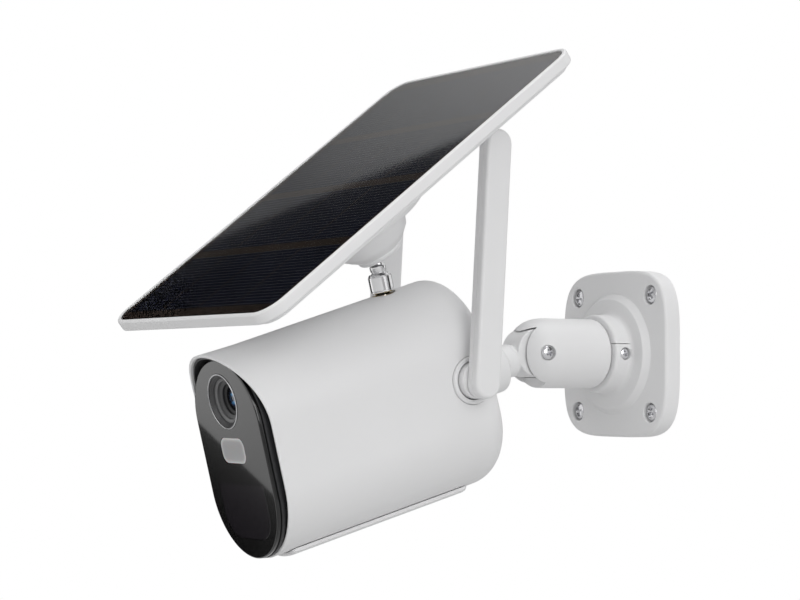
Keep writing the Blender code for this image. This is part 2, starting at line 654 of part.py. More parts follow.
# Lens group: ring, stepped baffle, barrel and front element
lens_at = (0, 0, LENS_U)
turned("lens_ring", [(LENS_RING_R, FACE_FRONT + 0.3 * MM), (LENS_RING_R, face_back),
                     (LENS_RING_R - 0.9 * MM, face_back),
                     (LENS_RING_R - 0.9 * MM, FACE_FRONT + 0.3 * MM)],
       STEEL, head, FORWARD, lens_at, ROUND, True)
baffle_r = LENS_RING_R - 1.2 * MM
baffle_back = face_back - 4.4 * MM
baffle = turned("lens_baffle", [(baffle_r, FACE_FRONT - 0.3 * MM), (baffle_r, baffle_back),
                                (LENS_R + 0.3 * MM, baffle_back),
                                (LENS_R + 0.3 * MM, baffle_back + 1.2 * MM),
                                (LENS_R + 1.5 * MM, baffle_back + 2.0 * MM),
                                (LENS_R + 1.6 * MM, baffle_back + 3.0 * MM),
                                (LENS_R + 2.9 * MM, baffle_back + 3.6 * MM),
                                (LENS_R + 3.0 * MM, baffle_back + 4.4 * MM),
                                (baffle_r - 0.6 * MM, FACE_FRONT - 0.3 * MM)],
                GREY, head, FORWARD, lens_at, ROUND, True)
smooth(baffle)
glass_front = baffle_back + 1.6 * MM
lens_dome = [(LENS_R * math.sin(a), glass_front - 1.2 * MM * (1 - math.cos(a)))
             for a in (math.radians(d) for d in (0, 20, 40, 60, 75, 90))]
smooth(turned("lens_glass", lens_dome + [(LENS_R, baffle_back), (0, baffle_back)], GLASS, head, FORWARD,
              lens_at, 32))
barrel_front = baffle_back - GAP
barrel_back = barrel_front - 14 * MM
smooth(turned("lens_barrel", [(0, barrel_front), (BARREL_R - 0.6 * MM, barrel_front),
                              (BARREL_R, barrel_front - 0.6 * MM), (BARREL_R, barrel_back),
                              (0, barrel_back)], BLACK, head, FORWARD, lens_at, 20))
board_thick = 1.4 * MM
board_front = barrel_back - 0.2 * MM
slab("sensor_board", 13 * MM, LENS_U - 11 * MM, LENS_U + 11 * MM, board_front - board_thick,
     board_front, BOARD, head)

# One board behind the face carries the two lamps and the motion sensor
light_front = frame_front - FRAME_FLOOR - 1.4 * MM
slab("front_board", 13 * MM, sense_middle - 7 * MM, LIGHT_U + 6 * MM, light_front - board_thick,
     light_front, BOARD, head)
for number, x in enumerate((-4.2 * MM, 4.2 * MM), 1):
    box(f"lamp_{number}", (x - 1.7 * MM, -light_front - 1.1 * MM, LIGHT_U - 1.7 * MM),
        (x + 1.7 * MM, -light_front - 0.2 * MM, LIGHT_U + 1.7 * MM), DIFFUSER, head)
can_r = 4.5 * MM
can_front = light_front + 3.0 * MM
smooth(turned("motion_sensor", [(0, can_front), (can_r - 0.4 * MM, can_front),
                                (can_r, can_front - 0.4 * MM), (can_r, light_front + 0.6 * MM),
                                (can_r + 0.5 * MM, light_front + 0.6 * MM),
                                (can_r + 0.5 * MM, light_front + 0.2 * MM),
                                (0, light_front + 0.2 * MM)], STEEL, head, FORWARD,
              (0, 0, sense_middle), SMALL_ROUND))

# Main board with its screened radio, loudspeaker
deck_u = 11 * MM
slab("main_board", 19 * MM, deck_u, deck_u + board_thick, 62 * MM, 112 * MM, BOARD, head)
slab("radio_can", 9 * MM, deck_u + board_thick + 0.2 * MM, deck_u + board_thick + 2.8 * MM, 72 * MM,
     92 * MM, STEEL, head)
speaker_u = -21 * MM
speaker_back = SHELL_BACK + SHELL_WALL + 1.6 * MM
smooth(turned("loudspeaker", [(0, speaker_back + 6 * MM), (5 * MM, speaker_back + 6 * MM),
                              (5 * MM, speaker_back + 2.4 * MM), (9 * MM, speaker_back + 2.4 * MM),
                              (9 * MM, speaker_back), (0, speaker_back)], BLACK, head, FORWARD,
              (0, 0, speaker_u), 32))

# Battery cells in their holder
cell_row = CELL_SPREAD * 2 * math.sin(math.radians(60)) + 0.4 * MM
cell_spots = [(-CELL_SPREAD, CELL_LOW_U), (CELL_SPREAD, CELL_LOW_U), (0, CELL_LOW_U + cell_row)]
cell_front = CELL_BACK + CELL_LENGTH
for number, (x, u) in enumerate(cell_spots, 1):
    smooth(turned(f"battery_cell_{number}", [(0, cell_front), (2.6 * MM, cell_front),
                                             (2.6 * MM, cell_front - 0.8 * MM),
                                             (CELL_R - 0.6 * MM, cell_front - 0.8 * MM),
                                             (CELL_R, cell_front - 1.4 * MM), (CELL_R, CELL_BACK),
                                             (0, CELL_BACK)], CELL_WRAP, head, FORWARD, (x, 0, u), 20))
holder_back = 88 * MM
holder_front = holder_back + 14 * MM
holder_bottom = shell_section(holder_back)[2] + SHELL_WALL + 0.9 * MM
holder_r = 25.2 * MM
battery_holder = rod("battery_holder", holder_r, holder_back, holder_front, BLACK, head, FORWARD,
                     (0, 0, holder_bottom + holder_r))
for x, u in cell_spots:
    cut(battery_holder, rod("cell_hole", CELL_R + GAP, holder_back - MM, holder_front + MM, None, head,
                            FORWARD, (x, 0, u), 32))
smooth(battery_holder)

# Ports under the cover
for label, place, half_x, half_y, high, finish, mouth in (
        ("charging_port", port_f, port_half, port_deep, port_high, STEEL, 0.6 * MM),
        ("card_slot", card_f, card_half, card_deep, card_high, BLACK, 0.5 * MM)):
    low = shell_section(place)[2] + 0.5 * MM
    socket = box(label, (-half_x, -place - half_y, low), (half_x, -place + half_y, low + high), finish,
                 head)
    cut(socket, box(label + "_mouth", (-half_x + mouth, -place - half_y + mouth, low - MM),
                    (half_x - mouth, -place + half_y - mouth, low + high - MM), None, head))

# Threaded insert for the panel's post
turned("post_insert", [(insert_r, post_top - 0.5 * MM), (insert_r, post_top - 9 * MM),
                       (THREAD_R + THREAD_CLEAR, post_top - 9 * MM),
                       (THREAD_R + THREAD_CLEAR, post_top - 0.5 * MM)], BRASS, head, (0, 0, 0),
       (0, -POST_F, 0), 32, True)
ball_points = [(BALL_R * math.sin(a), BALL_R * math.cos(a))
               for a in (math.radians(d) for d in range(0, 160, 15))]
neck_top = -math.sqrt(BALL_R ** 2 - POST_NECK_R ** 2)
ball_points = [(r, h) for r, h in ball_points if h > neck_top + 0.2 * MM]
post_foot = post_top - 8 * MM - BALL_U
ball_stud = turned("ball_stud", ball_points + [(POST_NECK_R, neck_top),
                                               (POST_NECK_R, -POST_NECK_END + 0.9 * MM),
                                               (THREAD_R, -POST_NECK_END), (THREAD_R, post_foot),
                                               (0, post_foot)], STEEL, head, (0, 0, 0),
                   (0, -POST_F, BALL_U), 20)
smooth(ball_stud)

# Antenna sockets in the sides
for side, turn, sign in (("right", ALONG_X, 1), ("left", AGAINST_X, -1)):
    outer, inner = antenna_side + SOCKET_OUT, antenna_side - 8.5 * MM
    floor = inner + 1.5 * MM
    bore = HUB_R + HUB_CLEAR
    smooth(turned(f"antenna_socket_{side}", [(SOCKET_R - 0.7 * MM, outer), (SOCKET_R, outer - 0.7 * MM),
                                             (SOCKET_R, inner), (2.7 * MM, inner), (2.7 * MM, floor),
                                             (bore, floor), (bore, outer - 0.4 * MM),
                                             (bore + 0.4 * MM, outer)], WHITE, head, turn,
                  (0, -ANTENNA_F, ANTENNA_U), ROUND, True))

# ---- antennas: each folds back about X ----------------------------------------------------------

antenna_frame_tilt = -ANTENNA_LEAN - HEAD_PITCH
paddle_in = antenna_side + PADDLE_STANDOFF
paddle_out = paddle_in + PADDLE_THICK
seam = (paddle_in + paddle_out) / 2
paddle_outline = (arc((0, -PADDLE_DOWN + PADDLE_HALF), PADDLE_HALF, 180, 360, 10)
                  + arc((0, PADDLE_UP - PADDLE_HALF), PADDLE_HALF, 0, 180, 10))
strip_half, strip_thick = 2.6 * MM, 0.8 * MM
for side, sign in (("right", 1), ("left", -1)):
    antenna = pivot(f"antenna_pivot_{side}", (0, -ANTENNA_F, ANTENNA_U), antenna_frame_tilt, head)
    out = ALONG_X if sign > 0 else AGAINST_X
    stub_in = antenna_side - 8.0 * MM
    hub_in = antenna_side - 6.5 * MM
    hub = turned(f"antenna_hub_{side}", [(0, paddle_in - GAP), (HUB_R - 0.6 * MM, paddle_in - GAP),
                                         (HUB_R, paddle_in - GAP - 0.6 * MM), (HUB_R, hub_in),
                                         (2.3 * MM, hub_in), (2.3 * MM, stub_in), (0, stub_in)],
                 WHITE, antenna, out, (0, 0, 0))
    smooth(hub)
    # The outline lies in its own XY; its own Z is turned to +X, and its own Y stays up.
    flat = (math.radians(90), 0, math.radians(90)) if sign > 0 else (math.radians(90), 0,
                                                                     math.radians(-90))
    inner_half = plate(f"antenna_inner_{side}", paddle_outline, paddle_in, seam - 0.15 * MM, WHITE,
                       antenna, flat)
    soften(inner_half, 1.6 * MM, 2, 60)
    strip_pocket = rounded_box(strip_half + GAP, -1 * MM, PADDLE_UP - 7 * MM, MM, MM, 2)
    cut(inner_half, plate("strip_pocket", strip_pocket, seam - 1.5 * MM, seam + MM, None, antenna, flat))
    smooth(inner_half)
    outer_half = plate(f"antenna_outer_{side}", paddle_outline, seam + 0.15 * MM, paddle_out, WHITE,
                       antenna, flat)
    soften(outer_half, 1.6 * MM, 2, 60)
    smooth(outer_half)
    plate(f"antenna_strip_{side}", rounded_box(strip_half, 0, PADDLE_UP - 8 * MM, 0.8 * MM, 0.8 * MM, 2),
          seam - 0.5 * MM - strip_thick, seam - 0.5 * MM, BRASS, antenna, flat)

# ---- cover under the body, on a strap hinge at its front ----------------------------------------

door_pivot_u = shell_section(DOOR_FRONT)[2] - GAP - DOOR_THICK / 2
door = pivot("door_pivot", (0, -DOOR_FRONT, door_pivot_u), 0.0, head)
door_rings = []
door_places = [DOOR_BACK, DOOR_BACK + 3 * MM, 90 * MM, DOOR_FRONT - 3 * MM, DOOR_FRONT]
for k, f in enumerate(door_places):
    half, top, bottom = shell_section(f)
    thick = DOOR_THICK if 0 < k < len(door_places) - 1 else DOOR_THICK * 0.45
    span = math.degrees(DOOR_ANGLE)
    inner = arc((0, bottom + half), half + GAP, -90 - span, -90 + span, 10)
    outer = arc((0, bottom + half), half + GAP + thick, -90 + span, -90 - span, 10)
    door_rings.append([(x, DOOR_FRONT - f, u - door_pivot_u) for x, u in inner + outer])
service_cover = lofted("service_cover", door_rings, WHITE, door)
smooth(service_cover)

# ---- reset button: slides up into the housing ---------------------------------------------------

button = pivot("button_pivot", (0, -button_f, 0), 0.0, head)
button_low = shell_section(button_f)[2]
flange_low = button_low + SHELL_WALL + GAP
smooth(turned("reset_button", [(0, flange_low + 0.9 * MM), (2.6 * MM, flange_low + 0.9 * MM),
                               (2.6 * MM, flange_low), (button_r, flange_low),
                               (button_r, button_low + 0.5 * MM),
                               (button_r - 0.3 * MM, button_low + 0.2 * MM),
                               (0, button_low + 0.2 * MM)], GREY, button, (0, 0, 0), (0, 0, 0),
              SMALL_ROUND))

# ---- lock nut on the post -----------------------------------------------------------------------

nut_pivot = pivot("nut_pivot", (0, -POST_F, 0), 0.0, head)
nut_low = post_top + 0.65 * MM
nut_high = nut_low + NUT_HEIGHT
bevel = 0.7 * MM
bore = THREAD_R + THREAD_CLEAR
lock_nut = turned("lock_nut", [(NUT_R - bevel, nut_high), (NUT_R, nut_high - bevel),
                               (NUT_R, nut_low + 0.3 * MM), (NUT_R - 0.3 * MM, nut_low),
                               (bore, nut_low), (bore, nut_high)], STEEL, nut_pivot, (0, 0, 0),
                  (0, 0, 0), ROUND, True)
smooth(lock_nut)

# ---- ball cup and panel: the cup tilts on the ball, the panel turns about the cup ----------------

ball = pivot("ball_pivot", (0, -POST_F, BALL_U), PANEL_TILT - HEAD_PITCH, head)
cup_in = BALL_R + GAP
cup_out = cup_in + CUP_WALL
cup_low, cup_high = -5.2 * MM, 5.0 * MM
cup_top = 8.4 * MM
low_angle = math.degrees(math.asin(-cup_low / cup_out))
inner_low = math.degrees(math.asin(-cup_low / cup_in))
inner_high = math.degrees(math.asin(cup_high / cup_in))
mouth_ring = arc((0, 0), cup_out, 0, -low_angle, 3)
seat_ring = arc((0, 0), cup_in, -inner_low, inner_high, 6)
rest_r = cup_in * math.cos(math.radians(inner_high))
ball_cup = turned("ball_cup", [(cup_out, cup_top)] + mouth_ring + seat_ring + [(rest_r, cup_top)],
                  GREY, ball, (0, 0, 0), (0, 0, 0), 24, True)
smooth(ball_cup)

panel = pivot("panel_pivot", (0, 0, 0), 0.0, ball)
lift = BALL_DEPTH                                   # glass plane above the ball's centre


def level(depth):
    """Height above the ball's centre of a plane this far under the glass."""
    return lift - depth


cavity_r = cup_out + GAP
bowl_floor = -math.sqrt(cavity_r ** 2 - MOUTH_R ** 2)
bowl_low = level(BOWL_DEPTH)
flange_top, flange_bottom = level(PAD_DEPTH + GAP), level(FLANGE_DEPTH)
cavity_angle = math.degrees(math.asin(-bowl_floor / cavity_r))
bowl_profile = ([(FLANGE_R, flange_top), (FLANGE_R - 0.2 * MM, flange_bottom + 1.2 * MM),
                 (FLANGE_R - 0.7 * MM, flange_bottom + 0.3 * MM), (FLANGE_R - 1.6 * MM, flange_bottom),
                 (BOWL_TOP_R + 1.2 * MM, flange_bottom), (BOWL_TOP_R, flange_bottom - 0.6 * MM),
                 (BOWL_FOOT_R + 1.0 * MM, bowl_low + 2.4 * MM), (BOWL_FOOT_R, bowl_low + 1.0 * MM),
                 (BOWL_FOOT_R - 0.9 * MM, bowl_low), (MOUTH_R, bowl_low)]
                + arc((0, 0), cavity_r, -cavity_angle, 0, 4) + [(cavity_r, flange_top)])
socket_bowl = turned("socket_bowl", bowl_profile, WHITE, panel, (0, 0, 0), (0, 0, 0), 36, True)
smooth(socket_bowl)
cap_low = cup_top + GAP
cap_high = level(PAD_DEPTH + GAP) - 0.1 * MM
rod("socket_cap", cavity_r - GAP, cap_low, cap_high, GREY, panel, (0, 0, 0), (0, 0, 0), 40)

panel_corner = GLASS_CORNER + FRAME_EDGE
frame_outline = rounded_box(GLASS_HALF_X + FRAME_EDGE, -GLASS_HALF_Y - FRAME_EDGE,
                            GLASS_HALF_Y + FRAME_EDGE, panel_corner, panel_corner, 6)
glass_outline = rounded_box(GLASS_HALF_X, -GLASS_HALF_Y, GLASS_HALF_Y, GLASS_CORNER, GLASS_CORNER, 6)
ledge_x, ledge_y = GLASS_HALF_X - PANEL_LEDGE, GLASS_HALF_Y - PANEL_LEDGE
ledge_outline = rounded_box(ledge_x, -ledge_y, ledge_y, GLASS_CORNER - 2 * MM, GLASS_CORNER - 2 * MM, 6)
pocket_depth = GLASS_THICK + SHEET_THICK + 2 * GAP
frame_low = level(PANEL_FRAME_THICK)
panel_frame = plate("panel_frame", frame_outline, frame_low, level(-0.2 * MM), WHITE, panel)
soften(panel_frame, 1.1 * MM, 3, 60)
cut(panel_frame, plate("glass_pocket", grown(glass_outline, GAP), level(pocket_depth), level(-2 * MM),
                       None, panel),
    plate("back_opening", ledge_outline, frame_low - MM, level(0), None, panel))
smooth(panel_frame)
plate("panel_glass", glass_outline, level(GLASS_THICK), level(0), GLASS, panel)
sheet_top = level(GLASS_THICK + GAP)
plate("cell_sheet", glass_outline, sheet_top - SHEET_THICK, sheet_top, CELLS, panel)
back_high = frame_low - GAP
back_outline = rounded_box(GLASS_HALF_X - MM, -GLASS_HALF_Y + MM, GLASS_HALF_Y - MM, GLASS_CORNER,
                           GLASS_CORNER, 6)
panel_back = plate("panel_back", back_outline, back_high - BACK_THICK, back_high, WHITE, panel)
pad_low = level(PAD_DEPTH)
join(panel_back, turned("back_pad", [(0, back_high - 0.5 * MM), (PAD_R + 1.4 * MM, back_high - 0.5 * MM),
                                     (PAD_R, back_high - BACK_THICK - 1.2 * MM), (PAD_R, pad_low),
                                     (0, pad_low)], None, panel, (0, 0, 0), (0, 0, 0), 40))
cut(panel_back, rod("pad_hollow", PAD_R - 2.4 * MM, pad_low + 2 * MM, back_high + MM, None, panel,
                    (0, 0, 0), (0, 0, 0), ROUND))
lead_y = -44 * MM
lead_r = 6.5 * MM
cut(panel_back, rod("lead_hole", lead_r - 1.5 * MM, back_high - 3 * MM, back_high + MM, None, panel,
                    (0, 0, 0), (0, lead_y, 0), SMALL_ROUND))
smooth(panel_back)
lead_socket = turned("lead_socket", [(lead_r, back_high - BACK_THICK - GAP),
                                     (lead_r, back_high - BACK_THICK - 4 * MM),
                                     (lead_r - 0.8 * MM, back_high - BACK_THICK - 5 * MM),
                                     (lead_r - 2.6 * MM, back_high - BACK_THICK - 5 * MM),
                                     (lead_r - 2.6 * MM, back_high - BACK_THICK - GAP)],
                     BLACK, panel, (0, 0, 0), (0, lead_y, 0), 32, True)
smooth(lead_socket)
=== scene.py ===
import math

import bmesh
import bpy
from mathutils import Matrix, Vector


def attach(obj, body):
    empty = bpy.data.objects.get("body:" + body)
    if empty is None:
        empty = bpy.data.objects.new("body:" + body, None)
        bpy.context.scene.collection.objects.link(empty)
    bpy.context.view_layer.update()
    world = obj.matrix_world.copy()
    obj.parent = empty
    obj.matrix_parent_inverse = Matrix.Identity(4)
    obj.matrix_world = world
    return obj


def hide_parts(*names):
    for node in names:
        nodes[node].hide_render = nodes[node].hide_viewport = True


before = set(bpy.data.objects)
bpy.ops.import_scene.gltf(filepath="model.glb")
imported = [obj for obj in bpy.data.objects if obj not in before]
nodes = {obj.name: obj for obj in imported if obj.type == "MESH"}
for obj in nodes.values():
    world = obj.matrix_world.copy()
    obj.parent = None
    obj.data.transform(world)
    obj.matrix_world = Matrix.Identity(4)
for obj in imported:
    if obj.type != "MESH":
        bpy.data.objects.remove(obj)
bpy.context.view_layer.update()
scene = bpy.context.scene

# ---- studio -------------------------------------------------------------------------------------
# A pale floor that runs out of sight, soft lamps above and beside the camera, and two cards that
# only polished faces reflect. The viewer stands to the camera's left, a little below it.

MM = 0.001
VIEW_FROM = Vector((0.7120, -0.5694, -0.0137))
VIEW_AZIMUTH, VIEW_RISE, VIEW_ROLL = math.radians(57.34), math.radians(-2.28), math.radians(0.23)

away = Vector((math.sin(VIEW_AZIMUTH) * math.cos(VIEW_RISE),
               -math.cos(VIEW_AZIMUTH) * math.cos(VIEW_RISE), math.sin(VIEW_RISE)))
level_right = Vector((math.cos(VIEW_AZIMUTH), math.sin(VIEW_AZIMUTH), 0.0))
level_up = away.cross(level_right)
view_right = level_right * math.cos(VIEW_ROLL) + level_up * math.sin(VIEW_ROLL)
view_up = level_up * math.cos(VIEW_ROLL) - level_right * math.sin(VIEW_ROLL)
view = bpy.data.objects.new("view", bpy.data.cameras.new("view"))
scene.collection.objects.link(view)
view.data.lens = 97.46
view.data.sensor_width = 36.0
view.data.clip_start = 0.01
view.matrix_world = Matrix.Translation(VIEW_FROM) @ Matrix((view_right, view_up, away)).transposed().to_4x4()
scene.camera = view
scene.view_settings.view_transform = 'Standard'


def lamp(name, place, aim, width, height, power):
    """A soft rectangular lamp."""
    data = bpy.data.lights.new(name, 'AREA')
    data.shape = 'RECTANGLE'
    data.size, data.size_y, data.energy = width, height, power
    light = bpy.data.objects.new(name, data)
    scene.collection.objects.link(light)
    light.location = place
    light.rotation_euler = (Vector(aim) - Vector(place)).to_track_quat('-Z', 'Y').to_euler()


lamp("side_lamp", (1.5, -0.25, 0.45), (0, -0.1, 0), 1.0, 1.0, 7.6)
lamp("top_lamp", (0.1, 0.25, 1.6), (0, -0.1, 0), 1.4, 1.0, 6.0)
lamp("front_lamp", (0.1, -1.8, 0.5), (0, -0.1, 0), 1.4, 0.9, 6.0)
lamp("back_lamp", (-1.1, 0.9, 0.7), (0, -0.1, 0), 1.0, 1.0, 2.9)

world = bpy.data.worlds.new("studio")
world.use_nodes = True
scene.world = world
sky = world.node_tree
sky.nodes.clear()


def link(tree, out, into):
    tree.links.new(out, into)


def maths(tree, operation, a, b=None, c=None):
    """One arithmetic step; each input is a socket or a number."""
    node = tree.nodes.new("ShaderNodeMath")
    node.operation = operation
    for k, value in enumerate((a, b, c)):
        if value is None:
            continue
        if isinstance(value, (int, float)):
            node.inputs[k].default_value = value
        else:
            link(tree, value, node.inputs[k])
    return node.outputs[0]


def ramp(tree, value, stops, kind='LINEAR'):
    """A colour ramp over (place, colour) stops; a colour may be one grey number."""
    node = tree.nodes.new("ShaderNodeValToRGB")
    node.color_ramp.interpolation = kind
    while len(node.color_ramp.elements) < len(stops):
        node.color_ramp.elements.new(0.5)
    for element, (place, colour) in zip(node.color_ramp.elements, stops):
        element.position = place
        element.color = (colour, colour, colour, 1) if isinstance(colour, float) else (*colour, 1)
    link(tree, value, node.inputs[0])
    return node.outputs[0]


def axes(tree, source="Object"):
    """The x, y and z of a texture coordinate."""
    coordinate = tree.nodes.new("ShaderNodeTexCoord")
    split = tree.nodes.new("ShaderNodeSeparateXYZ")
    link(tree, coordinate.outputs[source], split.inputs[0])
    return split.outputs[0], split.outputs[1], split.outputs[2]


sky_x, sky_y, sky_z = axes(sky, "Generated")
turn_round = maths(sky, 'ARCTAN2', sky_y, sky_x)
strips = maths(sky, 'SINE', maths(sky, 'MULTIPLY', turn_round, 5.0))
strip_tone = ramp(sky, maths(sky, 'MULTIPLY_ADD', strips, 0.5, 0.5),
                  [(0.0, 0.04), (0.32, 0.10), (0.45, 0.75), (1.0, 1.0)])
height_tone = ramp(sky, maths(sky, 'MULTIPLY_ADD', sky_z, 0.5, 0.5), [(0.0, 0.42), (0.5, 0.55), (1.0, 0.72)])
sort_of_ray = sky.nodes.new("ShaderNodeLightPath")
soft = sky.nodes.new("ShaderNodeBackground")
streaky = sky.nodes.new("ShaderNodeBackground")
plain = sky.nodes.new("ShaderNodeBackground")
link(sky, height_tone, soft.inputs[0])
link(sky, strip_tone, streaky.inputs[0])
soft.inputs[1].default_value = 0.9
streaky.inputs[1].default_value = 0.9
plain.inputs[0].default_value = (1, 1, 1, 1)
for_gloss = sky.nodes.new("ShaderNodeMixShader")
for_sight = sky.nodes.new("ShaderNodeMixShader")
link(sky, sort_of_ray.outputs["Is Glossy Ray"], for_gloss.inputs[0])
link(sky, soft.outputs[0], for_gloss.inputs[1])
link(sky, streaky.outputs[0], for_gloss.inputs[2])
link(sky, sort_of_ray.outputs["Is Camera Ray"], for_sight.inputs[0])
link(sky, for_gloss.outputs[0], for_sight.inputs[1])
link(sky, plain.outputs[0], for_sight.inputs[2])
sky_out = sky.nodes.new("ShaderNodeOutputWorld")
link(sky, for_sight.outputs[0], sky_out.inputs[0])


def far(tree, a, b):
    """Distance of (a, b) from the middle."""
    return maths(tree, 'SQRT', maths(tree, 'ADD', maths(tree, 'POWER', a, 2.0), maths(tree, 'POWER', b, 2.0)))


def from_bmesh(name, bm):
    mesh = bpy.data.meshes.new(name)
    bm.to_mesh(mesh)
    bm.free()
    obj = bpy.data.objects.new(name, mesh)
    scene.collection.objects.link(obj)
    return obj


def material(name, colour=(0.8, 0.8, 0.8), roughness=0.4, metallic=0.0):
    """A material with its Principled shader; returns the material, its tree and the shader."""
    made = bpy.data.materials.new(name)
    made.use_nodes = True
    shader = made.node_tree.nodes["Principled BSDF"]
    shader.inputs["Base Color"].default_value = (*colour, 1)
    shader.inputs["Roughness"].default_value = roughness
    shader.inputs["Metallic"].default_value = metallic
    return made, made.node_tree, shader


FLOOR_DROP = 0.24
bm = bmesh.new()
bmesh.ops.create_circle(bm, cap_ends=True, segments=96, radius=6.0)
floor = from_bmesh("floor", bm)
floor.location = (0, 0, -FLOOR_DROP)
floor_finish, tree, shader = material("pale_floor", (0.6, 0.6, 0.6), 0.9)
bright = tree.nodes.new("ShaderNodeEmission")
seen = tree.nodes.new("ShaderNodeLightPath")
either = tree.nodes.new("ShaderNodeMixShader")
link(tree, seen.outputs["Is Camera Ray"], either.inputs[0])
link(tree, shader.outputs[0], either.inputs[1])
link(tree, bright.outputs[0], either.inputs[2])
link(tree, either.outputs[0], tree.nodes["Material Output"].inputs[0])
bright.inputs[0].default_value = (1, 1, 1, 1)
floor.data.materials.append(floor_finish)


def studio_card(name, centre, facing, edge, tones, reach):
    """A card that only polished faces see: lit on one side of a straight edge, dark on the other."""
    facing, edge = Vector(facing).normalized(), Vector(edge).normalized()
    across = facing.cross(edge).normalized()
    bm = bmesh.new()
    bmesh.ops.create_grid(bm, x_segments=1, y_segments=1, size=reach)
    card = from_bmesh(name, bm)
    card.matrix_world = Matrix.Translation(centre) @ Matrix((edge, across, facing)).transposed().to_4x4()
    finish = bpy.data.materials.new(name)
    finish.use_nodes = True
    tree = finish.node_tree
    tree.nodes.clear()
    x, y = axes(tree)[:2]
    start, end, first, last = tones
    fade = tree.nodes.new("ShaderNodeMapRange")
    link(tree, x, fade.inputs[0])
    for socket, value in zip(list(fade.inputs)[1:5], (start, end, first, last)):
        socket.default_value = value
    glow = tree.nodes.new("ShaderNodeEmission")
    link(tree, maths(tree, 'MULTIPLY', fade.outputs[0], maths(tree, 'GREATER_THAN', y, 0.0)), glow.inputs[1])
    out = tree.nodes.new("ShaderNodeOutputMaterial")
    link(tree, glow.outputs[0], out.inputs[0])
    card.data.materials.append(finish)
    card.visible_camera = card.visible_diffuse = card.visible_shadow = False


studio_card("face_card", (-0.4352, -0.3826, -0.1609), (0.8789, 0.4077, 0.2477),
            (-0.3602, 0.2266, 0.9049), (-0.02, 0.045, 0.85, 1.1), 0.19)
studio_card("panel_card", (-0.5086, -0.0165, 0.3486), (0.8531, -0.2103, -0.4775),
            (-0.5060, -0.5561, -0.6590), (-0.15, 0.03, 0.42, 0.13), 0.34)

# ---- wall plate ---------------------------------------------------------------------------------
# Injection-moulded white plastic, hollow behind, with a chamfered ring that runs into the collar
# for the arm. Four counterbored holes take the wall screws, and a slit lets the collar clamp.

ROUND = 96                              # sides of a large round piece
SMALL_ROUND = 48
PLATE_HALF, PLATE_THICK, PLATE_POWER = 34.4 * MM, 7.5 * MM, 4.2
HOLE_HALF_PITCH = 24.0 * MM
HEAD_SEAT_R, HEAD_SEAT_DEPTH, HOLE_R = 4.0 * MM, 2.8 * MM, 2.4 * MM
RING_BASE_R, RING_TOP_R, RING_TOP = 24.9 * MM, 22.8 * MM, 10.45 * MM
COLLAR_R, COLLAR_TOP = 16.2 * MM, 18.4 * MM
SPIGOT_R, SPIGOT_END = 10.0 * MM, 4.0 * MM
CLAMP_OUT = 13.6 * MM
FORWARD = Matrix.Rotation(math.radians(90), 4, 'X')         # own Z becomes -Y, own Y becomes +Z
ALONG_X = Matrix.Rotation(math.radians(90), 4, 'Y')         # own Z becomes +X
AGAINST_X = Matrix.Rotation(math.radians(-90), 4, 'Y')      # own Z becomes -X


def loft(name, rings, closed=False):
    """A skin through rings of equal length; the first and last are filled unless it is closed."""
    bm = bmesh.new()
    rows = [[bm.verts.new(point) for point in ring] for ring in rings]
    count = len(rows[0])
    pairs = list(zip(rows, rows[1:])) + ([(rows[-1], rows[0])] if closed else [])
    for one, two in pairs:
        for k in range(count):
            n = (k + 1) % count
            bm.faces.new((one[k], one[n], two[n], two[k]))
    if not closed:
        bm.faces.new(list(reversed(rows[0])))
        bm.faces.new(rows[-1])
    bmesh.ops.recalc_face_normals(bm, faces=bm.faces)
    return from_bmesh(name, bm)


def arc(centre, radius, start, end, steps):
    """Points on an arc, angles in degrees, both ends included."""
    return [(centre[0] + radius * math.cos(math.radians(start + (end - start) * k / steps)),
             centre[1] + radius * math.sin(math.radians(start + (end - start) * k / steps)))
            for k in range(steps + 1)]


def turned(name, profile, sides=ROUND, closed=False):
    """A turned solid about its own Z from (radius, height) points; ends on the axis are closed."""
    rings = []
    for radius, height in profile:
        radius = max(radius, 0.00002)
        rings.append([(radius * math.cos(math.tau * k / sides), radius * math.sin(math.tau * k / sides),
                       height) for k in range(sides)])
    return loft(name, rings, closed)


def rod(radius, low, high, sides=SMALL_ROUND):
    return turned("cutter", [(radius, low), (radius, high)], sides)


def box(low, high):
    bm = bmesh.new()
    bmesh.ops.create_cube(bm, size=1.0)
    for vertex in bm.verts:
        vertex.co = [low[k] + (vertex.co[k] + 0.5) * (high[k] - low[k]) for k in range(3)]
    return from_bmesh("cutter", bm)


def prism(outline, low, high):
    """A flat outline in its own XY, thickened along its own Z."""
    return loft("cutter", [[(x, y, low) for x, y in outline], [(x, y, high) for x, y in outline]])


def settle(obj):
    """Applies an object's modifiers to its mesh."""
    bpy.context.view_layer.update()
    ready = obj.evaluated_get(bpy.context.evaluated_depsgraph_get())
    mesh = bpy.data.meshes.new_from_object(ready)
    obj.modifiers.clear()
    obj.data = mesh


def carve(target, operation, *others):
    """Cuts or joins the others into the target, in the target's own space, and removes them."""
    for other in others:
        step = target.modifiers.new("carve", 'BOOLEAN')
        step.operation, step.object, step.solver = operation, other, 'EXACT'
    settle(target)
    for other in others:
        bpy.data.objects.remove(other, do_unlink=True)
    return target


def soften(obj, width, segments=2, angle=30):
    step = obj.modifiers.new("soften", 'BEVEL')
    step.width, step.segments, step.limit_method = width, segments, 'ANGLE'
    step.angle_limit = math.radians(angle)
    step.use_clamp_overlap = True
    settle(obj)
    return obj


def shade(obj, angle=38):
    """Smooth shading with flat faces kept flat."""
    obj.data.shade_smooth()
    obj.data.set_sharp_from_angle(angle=math.radians(angle))
    step = obj.modifiers.new("even", 'WEIGHTED_NORMAL')
    step.keep_sharp = True
    settle(obj)
    return obj


